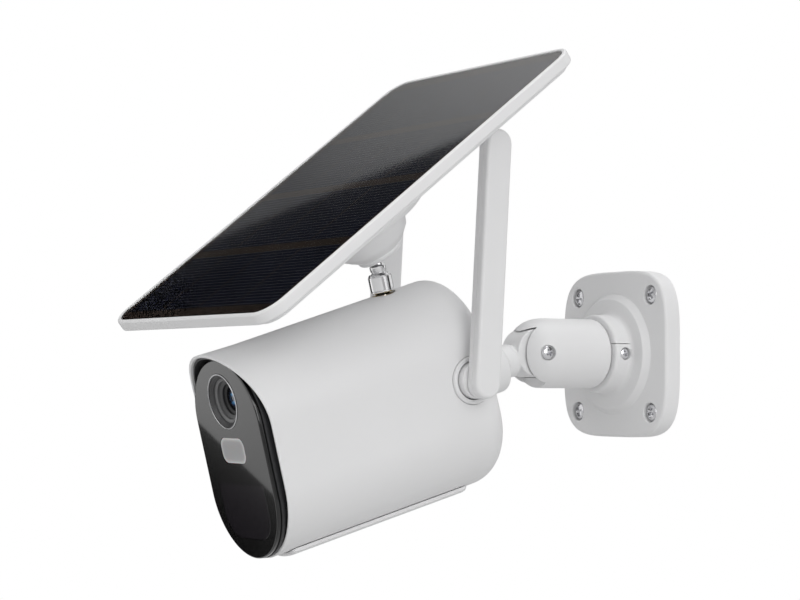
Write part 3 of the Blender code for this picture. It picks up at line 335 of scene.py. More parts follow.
def group_node(tree, group, **values):
    """Places a node group and sets its inputs by name."""
    node = tree.nodes.new("ShaderNodeGroup")
    node.node_tree = group
    for name, value in values.items():
        node.inputs[name].default_value = value
    return node


def new_group(name, numbers=(), outputs=(("Height", 'NodeSocketFloat'),)):
    """An empty node group with number inputs (name, start value) and the given outputs."""
    group = bpy.data.node_groups.new(name, 'ShaderNodeTree')
    for label, value in numbers:
        socket = group.interface.new_socket(label, in_out='INPUT', socket_type='NodeSocketFloat')
        socket.default_value = value
    for label, kind in outputs:
        group.interface.new_socket(label, in_out='OUTPUT', socket_type=kind)
    return group, group.nodes.new("NodeGroupInput"), group.nodes.new("NodeGroupOutput")


def noise(tree, scale, detail=3.0, roughness=0.5, vector=None):
    node = tree.nodes.new("ShaderNodeTexNoise")
    node.inputs["Detail"].default_value = detail
    node.inputs["Roughness"].default_value = roughness
    if isinstance(scale, (int, float)):
        node.inputs["Scale"].default_value = scale
    else:
        link(tree, scale, node.inputs["Scale"])
    if vector is None:
        coordinate = tree.nodes.new("ShaderNodeTexCoord")
        vector = coordinate.outputs["Object"]
    link(tree, vector, node.inputs["Vector"])
    return node.outputs["Fac"]


def roughen(tree, shader, height, strength, distance, socket="Normal"):
    """Bump from a height, strength as a share and distance in metres."""
    bump = tree.nodes.new("ShaderNodeBump")
    bump.inputs["Strength"].default_value = strength
    bump.inputs["Distance"].default_value = distance
    link(tree, height, bump.inputs["Height"])
    link(tree, bump.outputs[0], shader.inputs[socket])


# Fine spark-eroded grain of a mould, with slow changes of tone and gloss where it flowed and cooled.
MOULDED, taken, given = new_group("moulded_surface", (("Grain", 2600.0), ("Tone", 0.02), ("Gloss", 0.05)),
                                  (("Height", 'NodeSocketFloat'), ("Shade", 'NodeSocketFloat'),
                                   ("Gloss", 'NodeSocketFloat')))
grain = noise(MOULDED, taken.outputs["Grain"], 2.0)
flow = noise(MOULDED, 28.0, 3.0)
handled = noise(MOULDED, 160.0, 4.0, 0.6)
link(MOULDED, grain, given.inputs["Height"])
flow = maths(MOULDED, 'SUBTRACT', flow, 0.5)
handled = maths(MOULDED, 'SUBTRACT', handled, 0.5)
link(MOULDED, maths(MOULDED, 'MULTIPLY_ADD', flow, taken.outputs["Tone"], 1.0), given.inputs["Shade"])
link(MOULDED, maths(MOULDED, 'MULTIPLY', handled, taken.outputs["Gloss"]), given.inputs["Gloss"])


def moulded(name, colour, roughness, grain=2600.0, depth=0.03, tone=0.04, gloss=0.10, coat=0.0):
    """Moulded plastic: grain in the bump, slow tone and gloss changes in colour and roughness."""
    made, tree, shader = material(name, colour, roughness)
    surface = group_node(tree, MOULDED, Grain=grain, Tone=tone, Gloss=gloss)
    shaded = tree.nodes.new("ShaderNodeVectorMath")
    shaded.operation = 'SCALE'
    shaded.inputs[0].default_value = colour
    link(tree, surface.outputs["Shade"], shaded.inputs["Scale"])
    link(tree, shaded.outputs[0], shader.inputs["Base Color"])
    link(tree, maths(tree, 'ADD', surface.outputs["Gloss"], roughness), shader.inputs["Roughness"])
    roughen(tree, shader, surface.outputs["Height"], depth, 0.0003)
    shader.inputs["Coat Weight"].default_value = coat
    shader.inputs["Coat Roughness"].default_value = 0.05
    return made


WHITE = moulded("white_moulding", (0.80, 0.80, 0.805), 0.42)


def place(obj, name, finish, body, slot, *stands_for, at=None):
    """Names a finished piece, gives it its material, and hangs it on its body."""
    obj.name = name
    obj.data.name = name
    obj.data.materials.clear()
    obj.data.materials.append(finish)
    if at is not None:
        obj.matrix_world = at
        bpy.context.view_layer.update()
    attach(obj, body)
    if stands_for:
        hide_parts(*stands_for)
    return obj


def plate_ring(half, height, count=160):
    """The plate's bulged square, or with a tuple a circle of that radius."""
    ring = []
    for k in range(count):
        angle = math.tau * k / count
        c, s = math.cos(angle), math.sin(angle)
        if isinstance(half, tuple):
            reach = half[0]
        else:
            reach = half / (abs(c) ** PLATE_POWER + abs(s) ** PLATE_POWER) ** (1 / PLATE_POWER)
        ring.append((reach * c, reach * s, height))
    return ring


edge_r = 1.3 * MM
rings = [plate_ring((0.00002,), 0.0), plate_ring((13.0 * MM,), 0.0), plate_ring((13.2 * MM,), 0.2 * MM),
         plate_ring((13.4 * MM,), 4.9 * MM), plate_ring(PLATE_HALF - 2.8 * MM, 4.9 * MM),
         plate_ring(PLATE_HALF - 2.5 * MM, 0.2 * MM), plate_ring(PLATE_HALF - 2.4 * MM, 0.0),
         plate_ring(PLATE_HALF - 0.3 * MM, 0.0), plate_ring(PLATE_HALF, 0.3 * MM)]
for back, up in arc((0, 0), edge_r, 0, 90, 6):
    rings.append(plate_ring(PLATE_HALF - edge_r + back, PLATE_THICK - edge_r + up))
rings += [plate_ring((RING_BASE_R + 0.5 * MM,), PLATE_THICK),
          plate_ring((RING_BASE_R,), PLATE_THICK + 0.2 * MM),
          plate_ring((RING_TOP_R + 0.3 * MM,), RING_TOP - 0.25 * MM),
          plate_ring((RING_TOP_R - 0.3 * MM,), RING_TOP)]
fillet = 2.2 * MM
for r, h in arc((COLLAR_R + fillet, RING_TOP + fillet), fillet, 270, 180, 6):
    rings.append(plate_ring((r,), h))
for r, h in arc((COLLAR_R - 1.0 * MM, COLLAR_TOP - 1.0 * MM), 1.0 * MM, 0, 90, 5):
    rings.append(plate_ring((r,), h))
bore_r = SPIGOT_R + 0.3 * MM
rings += [plate_ring((bore_r + 0.4 * MM,), COLLAR_TOP), plate_ring((bore_r,), COLLAR_TOP - 0.4 * MM),
          plate_ring((bore_r,), SPIGOT_END - 0.3 * MM), plate_ring((0.00002,), SPIGOT_END - 0.3 * MM)]
wall_plate = loft("wall_mount_plate", rings)
hole_spots = [(x * HOLE_HALF_PITCH, y * HOLE_HALF_PITCH) for x in (-1, 1) for y in (-1, 1)]
posts = []
for x, y in hole_spots:
    post = turned("post", [(5.8 * MM, 6.0 * MM), (5.8 * MM, 0.2 * MM), (5.6 * MM, 0.0)], SMALL_ROUND)
    post.location = (x, y, 0)
    posts.append(post)
carve(wall_plate, 'UNION', *posts)
seat = PLATE_THICK - HEAD_SEAT_DEPTH
holes = []
for x, y in hole_spots:
    hole = turned("hole", [(HEAD_SEAT_R + 1.2 * MM, PLATE_THICK + 0.9 * MM),
                           (HEAD_SEAT_R + 0.3 * MM, PLATE_THICK), (HEAD_SEAT_R, PLATE_THICK - 0.3 * MM),
                           (HEAD_SEAT_R, seat), (HOLE_R, seat), (HOLE_R, -MM)], SMALL_ROUND)
    hole.location = (x, y, 0)
    holes.append(hole)
clamp_head_r = 2.6 * MM
clamp_seat = 14.1 * MM
clamp_hole = turned("clamp_hole", [(clamp_head_r + 0.6 * MM, COLLAR_R + 0.7 * MM),
                                   (clamp_head_r, COLLAR_R - 0.15 * MM), (clamp_head_r, clamp_seat),
                                   (1.7 * MM, clamp_seat), (1.7 * MM, 7.0 * MM)], SMALL_ROUND)
clamp_hole.matrix_world = Matrix.Translation((0, 0, CLAMP_OUT)) @ ALONG_X
slit = box((12.6 * MM, 3.95 * MM, RING_TOP + 0.8 * MM), (18 * MM, 4.2 * MM, COLLAR_TOP + MM))
carve(wall_plate, 'DIFFERENCE', *holes, clamp_hole, slit)
shade(wall_plate, 32)
place(wall_plate, "wall_mount_plate", WHITE, "wall_mount", "white_plastic", "wall_plate", at=FORWARD)

# ---- screws of the bracket ----------------------------------------------------------------------
# Bright zinc cross-head screws: four into the wall, one that clamps the collar on the arm's
# spigot, and the long one that the camera tilts on, with its hexagon nut on the far side.


def metal(name, colour, roughness, brush=900.0, depth=0.08, wear=0.12, stretch=(1, 1, 1)):
    """Plated or turned metal: fine brushing in the bump and patchy gloss."""
    made, tree, shader = material(name, colour, roughness, 1.0)
    coordinate = tree.nodes.new("ShaderNodeTexCoord")
    stretched = tree.nodes.new("ShaderNodeVectorMath")
    stretched.operation = 'MULTIPLY'
    stretched.inputs[1].default_value = stretch
    link(tree, coordinate.outputs["Object"], stretched.inputs[0])
    lines = noise(tree, brush, 3.0, 0.6, stretched.outputs[0])
    patches = noise(tree, 220.0, 3.0)
    link(tree, maths(tree, 'MULTIPLY_ADD', maths(tree, 'SUBTRACT', patches, 0.5), wear, roughness),
         shader.inputs["Roughness"])
    tint = ramp(tree, patches, [(0.3, tuple(c * 0.93 for c in colour)), (0.7, colour)])
    link(tree, tint, shader.inputs["Base Color"])
    roughen(tree, shader, lines, depth, 0.0001)
    return made


ZINC = metal("bright_zinc", (0.78, 0.78, 0.80), 0.22)


def cross_screw(head_r, head_top, head_high, shank_r, tip):
    """A pan head with a tapered cross recess on a threaded shank, about its own Z."""
    under = head_top - head_high
    profile = [(0, head_top)]
    profile += [(head_r * math.sin(a), head_top - head_high * 0.5 * (1 - math.cos(a)))
                for a in (math.radians(d) for d in (12, 25, 40, 55, 68, 80, 90))]
    profile += [(head_r, under + 0.15 * MM), (head_r - 0.15 * MM, under), (shank_r, under)]
    height = under - 0.5 * MM
    while height - 0.9 * MM > tip:                      # the thread's ridges
        profile += [(shank_r, height), (shank_r - 0.25 * MM, height - 0.35 * MM),
                    (shank_r - 0.25 * MM, height - 0.45 * MM)]
        height -= 0.8 * MM
    profile += [(shank_r, height), (shank_r, tip), (0, tip)]
    screw = turned("screw", profile, SMALL_ROUND)
    arms = []
    for turn in (0, 90):
        arm = loft("arm", [[(x * head_r * 0.30, y * head_r * 0.07, head_top - head_high * 0.72)
                            for x, y in ((-1, -1), (1, -1), (1, 1), (-1, 1))],
                           [(x * head_r * 0.62, y * head_r * 0.17, head_top + 0.05 * MM)
                            for x, y in ((-1, -1), (1, -1), (1, 1), (-1, 1))],
                           [(x * head_r * 0.66, y * head_r * 0.18, head_top + 0.4 * MM)
                            for x, y in ((-1, -1), (1, -1), (1, 1), (-1, 1))]])
        arm.rotation_euler = (0, 0, math.radians(turn))
        arms.append(arm)
    core = turned("core", [(head_r * 0.26, head_top + 0.4 * MM), (head_r * 0.24, head_top - head_high * 0.5),
                           (0, head_top - head_high * 0.8)], 16)
    carve(screw, 'DIFFERENCE', *arms, core)
    return shade(screw, 40)


wall_screw_turns = (12, 78, -20, 41)
for count, ((x, y), turn) in enumerate(zip(hole_spots, wall_screw_turns), 1):
    screw = cross_screw(3.4 * MM, seat + 2.5 * MM, 2.2 * MM, 1.9 * MM, 0.3 * MM)
    place(screw, f"wall_fixing_{count}", ZINC, "wall_mount", "zinc_steel", f"wall_screw_{count}",
          at=Matrix.Translation((x, 0, y)) @ FORWARD @ Matrix.Rotation(math.radians(turn), 4, 'Z'))
groove_r = SPIGOT_R - 1.6 * MM
clamp_screw = cross_screw(2.3 * MM, clamp_seat + 2.0 * MM, 1.7 * MM, 1.4 * MM, groove_r + 0.3 * MM)
place(clamp_screw, "collar_clamp_screw", ZINC, "wall_mount", "zinc_steel", "collar_screw",
      at=Matrix.Translation((0, -CLAMP_OUT, 0)) @ ALONG_X @ Matrix.Rotation(math.radians(22), 4, 'Z'))
TUBE_R, PIVOT_OUT, CHEEK_OUT = 14.26 * MM, 50.5 * MM, 44.2 * MM
pivot = Matrix.Translation((0, -PIVOT_OUT, 0))
head_seat = TUBE_R - 2.6 * MM
pivot_pin = cross_screw(2.8 * MM, head_seat + 2.2 * MM, 1.9 * MM, 2.0 * MM, -TUBE_R + 1.2 * MM)
place(pivot_pin, "tilt_screw", ZINC, "arm", "zinc_steel", "pivot_screw",
      at=pivot @ ALONG_X @ Matrix.Rotation(math.radians(30), 4, 'Z'))
nut_low = TUBE_R - 3.9 * MM
nut = turned("nut", [(3.2 * MM, nut_low), (3.9 * MM, nut_low + 0.3 * MM), (3.9 * MM, nut_low + 2.3 * MM),
                     (3.2 * MM, nut_low + 2.6 * MM), (2.3 * MM, nut_low + 2.6 * MM), (2.3 * MM, nut_low)],
             6, True)
place(shade(soften(nut, 0.15 * MM), 30), "tilt_nut", ZINC, "arm", "zinc_steel", "pivot_nut",
      at=pivot @ AGAINST_X)

# ---- arm ----------------------------------------------------------------------------------------
# A thick white moulding: a round spigot that turns in the collar, then a tube whose end is slotted
# into two cheeks with round noses. The screw through the cheeks pinches them on the knuckle.

SLOT_HALF, SLOT_END_R, SLOT_ABOVE, SLOT_BELOW = 7.1 * MM, 10.4 * MM, 46, 104
tube_start = COLLAR_TOP + 0.3 * MM
profile = [(0, SPIGOT_END), (SPIGOT_R - 0.4 * MM, SPIGOT_END), (SPIGOT_R, SPIGOT_END + 0.4 * MM),
           (SPIGOT_R, CLAMP_OUT - 1.8 * MM), (groove_r, CLAMP_OUT - 1.8 * MM),
           (groove_r, CLAMP_OUT + 1.8 * MM), (SPIGOT_R, CLAMP_OUT + 1.8 * MM), (SPIGOT_R, tube_start)]
profile += arc((TUBE_R - 1.6 * MM, tube_start + 1.6 * MM), 1.6 * MM, -90, 0, 8)
profile += [(TUBE_R, h * MM) for h in range(24, 44, 3)]
for step in range(25):
    swing = math.radians(3.75 * step)
    profile.append((TUBE_R * max(math.cos(swing), 0.0) ** 0.9, CHEEK_OUT + TUBE_R * math.sin(swing) ** 0.9))
arm_tube = turned("arm_tube", profile)
slot_cutter = prism(arc((0, 0), SLOT_END_R, 180 - SLOT_ABOVE, SLOT_BELOW - 180, 40)
                    + arc((0, 0), 2 * TUBE_R, 180 + SLOT_BELOW, 180 - SLOT_ABOVE, 12), -SLOT_HALF, SLOT_HALF)
slot_cutter.matrix_world = Matrix.Translation((0, 0, PIVOT_OUT)) @ ALONG_X
carve(arm_tube, 'DIFFERENCE', slot_cutter)
soften(arm_tube, 0.35 * MM, 3, 35)
screw_hole = turned("hole", [(3.7 * MM, TUBE_R + 0.55 * MM), (3.1 * MM, TUBE_R - 0.1 * MM),
                             (3.1 * MM, head_seat), (2.3 * MM, head_seat), (2.3 * MM, -TUBE_R - MM)],
                    SMALL_ROUND)
screw_hole.matrix_world = Matrix.Translation((0, 0, PIVOT_OUT)) @ ALONG_X
nut_hole = rod(4.3 * MM, TUBE_R - 4.2 * MM, TUBE_R + MM, 6)
nut_hole.matrix_world = Matrix.Translation((0, 0, PIVOT_OUT)) @ AGAINST_X
carve(arm_tube, 'DIFFERENCE', screw_hole, nut_hole)
place(shade(arm_tube, 32), "bracket_arm", WHITE, "arm", "white_plastic", "arm_tube", at=FORWARD)

BLACK = moulded("black_moulding", (0.022, 0.022, 0.024), 0.38, 2200.0, 0.03, 0.2)
for side, turn in (("right", ALONG_X), ("left", AGAINST_X)):
    washer = turned("washer", [(5.2 * MM, 6.9 * MM), (5.4 * MM, 6.75 * MM), (5.4 * MM, 6.35 * MM),
                               (5.2 * MM, 6.2 * MM), (2.4 * MM, 6.2 * MM), (2.4 * MM, 6.9 * MM)],
                    SMALL_ROUND, True)
    place(shade(washer), f"friction_washer_{side}", BLACK, "arm", "black_plastic",
          f"pivot_washer_{side}", at=pivot @ turn)

# ---- knuckle ------------------------------------------------------------------------------------
# One white moulding: a barrel pinched between the cheeks and a neck that leads to the camera, with
# a stud that the camera turns on.

NECK_PITCH = math.radians(17.3)
EYE_R, EYE_HALF, NECK_R = 9.8 * MM, 6.0 * MM, 6.7 * MM
BOSS_FRONT, BOSS_R, STUD_R, STUD_LENGTH = 17.6 * MM, 10.8 * MM, 3.0 * MM, 4.6 * MM
along_neck = pivot @ Matrix.Rotation(NECK_PITCH, 4, 'X')
eye = turned("eye", [(0, -EYE_HALF)] + arc((EYE_R - 0.5 * MM, -EYE_HALF + 0.5 * MM), 0.5 * MM, -90, 0, 4)
             + arc((EYE_R - 0.5 * MM, EYE_HALF - 0.5 * MM), 0.5 * MM, 0, 90, 4) + [(0, EYE_HALF)])
eye.matrix_world = ALONG_X
neck_end = BOSS_FRONT - 0.3 * MM
stud_end = BOSS_FRONT + STUD_LENGTH
knuckle = turned("knuckle", [(0, 0), (5.7 * MM, 0), (5.7 * MM, 8.2 * MM)]
                 + arc((NECK_R + 1.6 * MM, 11.4 * MM), 1.6 * MM, 205, 180, 3)
                 + [(NECK_R, 12.6 * MM)] + arc((NECK_R + 1.6 * MM, 14.6 * MM), 1.6 * MM, 180, 125, 4)
                 + [(NECK_R + 1.15 * MM, neck_end - 0.3 * MM), (NECK_R + 0.9 * MM, neck_end),
                    (STUD_R, neck_end), (STUD_R, stud_end - 0.3 * MM), (STUD_R - 0.3 * MM, stud_end),
                    (0, stud_end)])
knuckle.data.transform(FORWARD)
carve(knuckle, 'UNION', eye)
soften(knuckle, 0.45 * MM, 3, 35)
bore = rod(2.3 * MM, -2 * EYE_HALF, 2 * EYE_HALF)
bore.matrix_world = ALONG_X
carve(knuckle, 'DIFFERENCE', bore)
place(shade(knuckle, 35), "tilt_barrel_and_neck", WHITE, "knuckle", "white_plastic", "tilt_knuckle",
      at=along_neck)

# ---- rear boss ----------------------------------------------------------------------------------
# A white disc moulded on the camera's back, square to the neck; the knuckle's stud turns in it.

HEAD_PITCH = math.radians(14.14)
SHELL_BACK = 36.2 * MM
lean = NECK_PITCH - HEAD_PITCH
boss_back = SHELL_BACK / math.cos(lean) - 0.3 * MM
edge = 1.3 * MM
boss = turned("boss", [(STUD_R + 0.3 * MM, boss_back - 1.4 * MM), (STUD_R + 0.3 * MM, BOSS_FRONT)]
              + arc((BOSS_R - edge, BOSS_FRONT + edge), edge, -90, 0, 6)
              + [(BOSS_R, boss_back - 1.5 * MM), (BOSS_R + 0.4 * MM, boss_back - 0.6 * MM),
                 (BOSS_R + 1.4 * MM, boss_back), (0, boss_back), (0, boss_back - 1.4 * MM)], ROUND, True)
place(shade(boss), "rear_mount_disc", WHITE, "head", "white_plastic", "rear_boss", at=along_neck @ FORWARD)

# ---- housing ------------------------------------------------------------------------------------
# One deep white moulding, open in front: an upright oval tube with a rounded back, drawn forward
# at the top into a hood. Holes take the antennas' sockets, the post, the button and the ports.

HEAD = pivot @ Matrix.Rotation(HEAD_PITCH, 4, 'X')          # x across, -y forward, z up
SHELL_WALL, SHELL_FILLET, SHELL_RIM = 2.0 * MM, 8.5 * MM, 137.6 * MM
BACK_HALF, BACK_TOP, BACK_BOTTOM = 29.5 * MM, 39.9 * MM, -43.2 * MM
RIM_HALF, RIM_TOP, RIM_BOTTOM = 28.0 * MM, 34.1 * MM, -45.9 * MM
BROW_START, BROW_GROWTH = 4.0 * MM, 9.8
back_centre = -SHELL_BACK * math.tan(lean)


def oval(half, top, bottom, quarter=28):
    """An upright oval of two half circles joined by straight sides, as (x, u)."""
    return (arc((0, bottom + half), half, -90, 0, quarter) + arc((0, top - half), half, 0, 180, 2 * quarter)
            + arc((0, bottom + half), half, 180, 270, quarter)[:-1])


def shell_at(f):
    """Half width, top and bottom of the housing at a distance along its axis."""
    start = SHELL_BACK + SHELL_FILLET
    t = (f - start) / (SHELL_RIM - start)
    return (BACK_HALF + (RIM_HALF - BACK_HALF) * t, BACK_TOP + (RIM_TOP - BACK_TOP) * t,
            BACK_BOTTOM + (RIM_BOTTOM - BACK_BOTTOM) * t)


def inner(section, inset):
    half, top, bottom = section
    return half - inset, top - inset, bottom + inset


def brow(u):
    return BROW_GROWTH * max(u - BROW_START, 0.0) ** 2


def ring_at(section, f, shaped=None):
    """The housing's section at a distance; shaped adds to the distance by height."""
    return [(x, -f - (shaped(u) if shaped else 0.0), u) for x, u in oval(*section)]


def back_rings(inset):
    """The rounded back, with the wall's inner skin when it is inset."""
    out = []
    fillet_r = SHELL_FILLET - inset
    for degrees in range(0, 90, 9):
        pull = fillet_r * (1 - math.sin(math.radians(degrees)))
        f = SHELL_BACK + inset + fillet_r * (1 - math.cos(math.radians(degrees)))
        share = 1 - degrees / 90
        out.append([(x, -f - share * (u - back_centre) * math.tan(lean), u)
                    for x, u in oval(*inner(shell_at(SHELL_BACK + SHELL_FILLET), inset + pull))])
    return out


rim = shell_at(SHELL_RIM)
rim_lip, mouth_seat = 1.1 * MM, 135.7 * MM
side_start = (SHELL_BACK + SHELL_FILLET) / MM
rings = back_rings(0.0) + [ring_at(shell_at(f * MM), f * MM) for f in (side_start, 65, 85, 110, 122, 130)]
for inset, forward in arc((0.45 * MM, -0.45 * MM), 0.45 * MM, 180, 90, 4):
    rings.append(ring_at(inner(rim, inset), SHELL_RIM + forward, brow))
rings += [ring_at(inner(rim, rim_lip - 0.15 * MM), SHELL_RIM, brow),
          ring_at(inner(rim, rim_lip), SHELL_RIM - 0.15 * MM, brow),
          ring_at(inner(rim, rim_lip), mouth_seat), ring_at(inner(rim, SHELL_WALL), mouth_seat)]
rings += [ring_at(inner(shell_at(f * MM), SHELL_WALL), f * MM) for f in (122, 110, 85, 65, side_start)]
rings += list(reversed(back_rings(SHELL_WALL)))
housing = loft("housing", rings)
POST_F, POST_HOLE_R = 62.8 * MM, 5.0 * MM
post_top = shell_at(POST_F)[1]
ANTENNA_F, ANTENNA_U, ANTENNA_SOCKET_R = 49.3 * MM, 0.8 * MM, 9.3 * MM
antenna_side = shell_at(ANTENNA_F)[0]
post_hole = rod(POST_HOLE_R, post_top - 8 * MM, post_top + 5 * MM)
post_hole.location = (0, -POST_F, 0)
socket_hole = rod(ANTENNA_SOCKET_R + 0.15 * MM, -2 * antenna_side, 2 * antenna_side, ROUND)
socket_hole.matrix_world = Matrix.Translation((0, -ANTENNA_F, ANTENNA_U)) @ ALONG_X
BUTTON_F, BUTTON_R, PORT_F, CARD_F = 54 * MM, 1.7 * MM, 68 * MM, 76 * MM
button_low = shell_at(BUTTON_F)[2]
button_hole = rod(BUTTON_R + 0.3 * MM, button_low - 2 * MM, button_low + 4 * MM)
button_hole.location = (0, -BUTTON_F, 0)
port_holes = []
for f, half_x, half_y in ((PORT_F, 4.7 * MM, 1.8 * MM), (CARD_F, 6.0 * MM, 0.9 * MM)):
    low = shell_at(f)[2]
    port_holes.append(box((-half_x - 0.3 * MM, -f - half_y - 0.3 * MM, low - 2 * MM),
                          (half_x + 0.3 * MM, -f + half_y + 0.3 * MM, low + 4 * MM)))
carve(housing, 'DIFFERENCE', post_hole, socket_hole, button_hole, *port_holes)
place(shade(housing, 32), "housing_body", WHITE, "head", "white_plastic", "housing_shell", at=HEAD)

# ---- front frame and gasket ---------------------------------------------------------------------
# A black satin moulding plugs the housing's mouth and carries a thin liner up under the hood, a dark
# sheet of painted shade for the hood's shaded hollow. A rubber gasket is squeezed behind it.

FACE_FRONT, FACE_THICK = 141.0 * MM, 1.6 * MM
FACE_HALF, FACE_TOP, FACE_BOTTOM = 24.2 * MM, 31.0 * MM, -45.2 * MM
frame_front = FACE_FRONT - FACE_THICK - 0.3 * MM
plug = (RIM_HALF - 2.5 * MM, RIM_TOP - 2.9 * MM, RIM_BOTTOM + 2.6 * MM)
plug_back = SHELL_RIM + 0.3 * MM - 13.0 * MM
frame_lip = (FACE_HALF + 0.5 * MM, FACE_TOP + 0.15 * MM, FACE_BOTTOM - 0.3 * MM)
throat = (24.6 * MM, 30.8 * MM, -43.6 * MM)
# Painted shade: the liner runs along the hood's inside so that the hollow under the hood reads dark.
shade_liner_back, shade_liner_front = 136.0 * MM, 136.75 * MM
front_frame = loft("front_frame", [
    ring_at(plug, plug_back), ring_at(plug, shade_liner_back), ring_at(inner(rim, 1.25 * MM), shade_liner_back),
    ring_at(inner(rim, 1.25 * MM), shade_liner_front - 0.15 * MM, brow),
    ring_at(inner(rim, 1.45 * MM), shade_liner_front, brow), ring_at(inner(rim, 2.0 * MM), shade_liner_front, brow),
    ring_at(inner(rim, 2.05 * MM), shade_liner_front - 0.15 * MM), ring_at(throat, shade_liner_front - 0.25 * MM),
    ring_at(throat, SHELL_RIM + 0.25 * MM), ring_at(frame_lip, SHELL_RIM + 0.25 * MM),
    ring_at(frame_lip, frame_front - 0.15 * MM), ring_at(inner(frame_lip, 0.15 * MM), frame_front)])
pocket = inner(plug, 1.7 * MM)
hollow = loft("hollow", [ring_at(pocket, plug_back - MM), ring_at(pocket, frame_front - 2 * MM)])
LENS_U, LENS_RING_R = 15.2 * MM, 10.6 * MM
LIGHT_U, LIGHT_HALF, LIGHT_HALF_HIGH, LIGHT_CORNER = -3.6 * MM, 8.9 * MM, 4.9 * MM, 3.6 * MM
SENSE_TOP, SENSE_BOTTOM, SENSE_HALF = -16.4 * MM, -37.6 * MM, 17.3 * MM
sense_middle, sense_half_high = (SENSE_TOP + SENSE_BOTTOM) / 2, (SENSE_TOP - SENSE_BOTTOM) / 2


def rounded_box(half_x, half_y, low_corner, high_corner, grow=0.0, steps=12):
    """A rectangle with its own corner radius below and above, grown outwards if asked."""
    a, b = low_corner + grow, high_corner + grow
    half_x, half_y = half_x + grow, half_y + grow
    return (arc((half_x - a, a - half_y), a, -90, 0, steps) + arc((half_x - b, half_y - b), b, 0, 90, steps)
            + arc((b - half_x, half_y - b), b, 90, 180, steps)
            + arc((a - half_x, a - half_y), a, 180, 270, steps))


def lens_cutter(grow=0.0):
    cutter = rod(LENS_RING_R + 0.1 * MM + grow, frame_front - 5 * MM, FACE_FRONT + 2 * MM, ROUND)
    cutter.matrix_world = Matrix.Translation((0, 0, LENS_U)) @ FORWARD
    return cutter


def window_cutter(outline, u):
    cutter = prism(outline, frame_front - 5 * MM, FACE_FRONT + 2 * MM)
    cutter.matrix_world = Matrix.Translation((0, 0, u)) @ FORWARD
    return cutter


light_shape = (LIGHT_HALF, LIGHT_HALF_HIGH, LIGHT_CORNER, LIGHT_CORNER)
sense_shape = (SENSE_HALF, sense_half_high, 10.0 * MM, 2.0 * MM)
carve(front_frame, 'DIFFERENCE', hollow, lens_cutter(),
      window_cutter(rounded_box(*light_shape, -MM), LIGHT_U),
      window_cutter(rounded_box(*sense_shape, -1.6 * MM), sense_middle))
SATIN_BLACK = moulded("satin_black", (0.026, 0.026, 0.028), 0.36, 2400.0, 0.03, 0.15)
place(shade(front_frame, 32), "front_frame_and_shade_liner", SATIN_BLACK, "head", "black_plastic", "front_frame",
      at=HEAD)
RUBBER = moulded("gasket_rubber", (0.035, 0.035, 0.035), 0.8, 1500.0, 0.1, 0.2)
gasket_out = inner(plug, -0.15 * MM)
gasket = loft("gasket", [ring_at(section, plug_back - behind * MM) for section, behind in (
    (plug, 1.5), (gasket_out, 1.2), (gasket_out, 0.6), (plug, 0.3), (pocket, 0.3), (pocket, 1.5))], True)
place(shade(gasket), "face_gasket", RUBBER, "head", "rubber", "front_gasket", at=HEAD)

# ---- face, windows and lens ---------------------------------------------------------------------
# A polished black cover with a frosted lamp window and a glossy sensor window let into it, and a
# deep stepped lens seat inside a thin satin ring.


def polished(name, colour, roughness=0.03, depth=0.004):
    """Polished dark plastic: a clear coat over a deep colour, with very fine hairlines."""
    made, tree, shader = material(name, colour, 0.2)
    hair = noise(tree, 900.0, 4.0, 0.6)
    wave = noise(tree, 40.0, 2.0)
    link(tree, maths(tree, 'MULTIPLY_ADD', hair, 0.05, 0.15), shader.inputs["Roughness"])
    tint = ramp(tree, wave, [(0.3, tuple(c * 0.8 for c in colour)), (0.7, colour)])
    link(tree, tint, shader.inputs["Base Color"])
    roughen(tree, shader, wave, depth, 0.0001, "Coat Normal")
    shader.inputs["Coat Weight"].default_value = 1.0
    shader.inputs["Coat Roughness"].default_value = roughness
    shader.inputs["Specular IOR Level"].default_value = 0.2
    return made


GLOSS_BLACK = polished("gloss_black_cover", (0.002, 0.002, 0.002))
face_back = FACE_FRONT - FACE_THICK
face = loft("face", [ring_at(inner((FACE_HALF, FACE_TOP, FACE_BOTTOM), inset), f) for inset, f in
                     [(0.2 * MM, face_back), (0.0, face_back + 0.2 * MM), (0.0, FACE_FRONT - 0.6 * MM),
                      (0.08 * MM, FACE_FRONT - 0.3 * MM), (0.3 * MM, FACE_FRONT - 0.08 * MM),
                      (0.6 * MM, FACE_FRONT)]])
carve(face, 'DIFFERENCE', lens_cutter(), window_cutter(rounded_box(*light_shape, 0.06 * MM), LIGHT_U),
      window_cutter(rounded_box(*sense_shape, 0.05 * MM), sense_middle))
place(shade(face, 25), "face_cover", GLOSS_BLACK, "head", "gloss_black", "front_cover", at=HEAD)


def window(shape, edge_width):
    """A flat window with a narrow chamfer round its front edge."""
    front = FACE_FRONT - 0.03 * MM
    return shade(loft("window", [[(x, y, h) for x, y in rounded_box(*shape, -inset)] for inset, h in
                                 [(0.04 * MM, face_back), (0.04 * MM, front - edge_width),
                                  (0.04 * MM + edge_width, front)]]), 25)


frosted, tree, shader = material("frosted_window", (0.40, 0.40, 0.40), 0.35)
across, upward = axes(tree)[:2]
edge_x = maths(tree, 'SUBTRACT', maths(tree, 'ABSOLUTE', across), LIGHT_HALF - LIGHT_CORNER)
edge_y = maths(tree, 'SUBTRACT', maths(tree, 'ABSOLUTE', upward), LIGHT_HALF_HIGH - LIGHT_CORNER)
reach = far(tree, maths(tree, 'MAXIMUM', edge_x, 0.0), maths(tree, 'MAXIMUM', edge_y, 0.0))
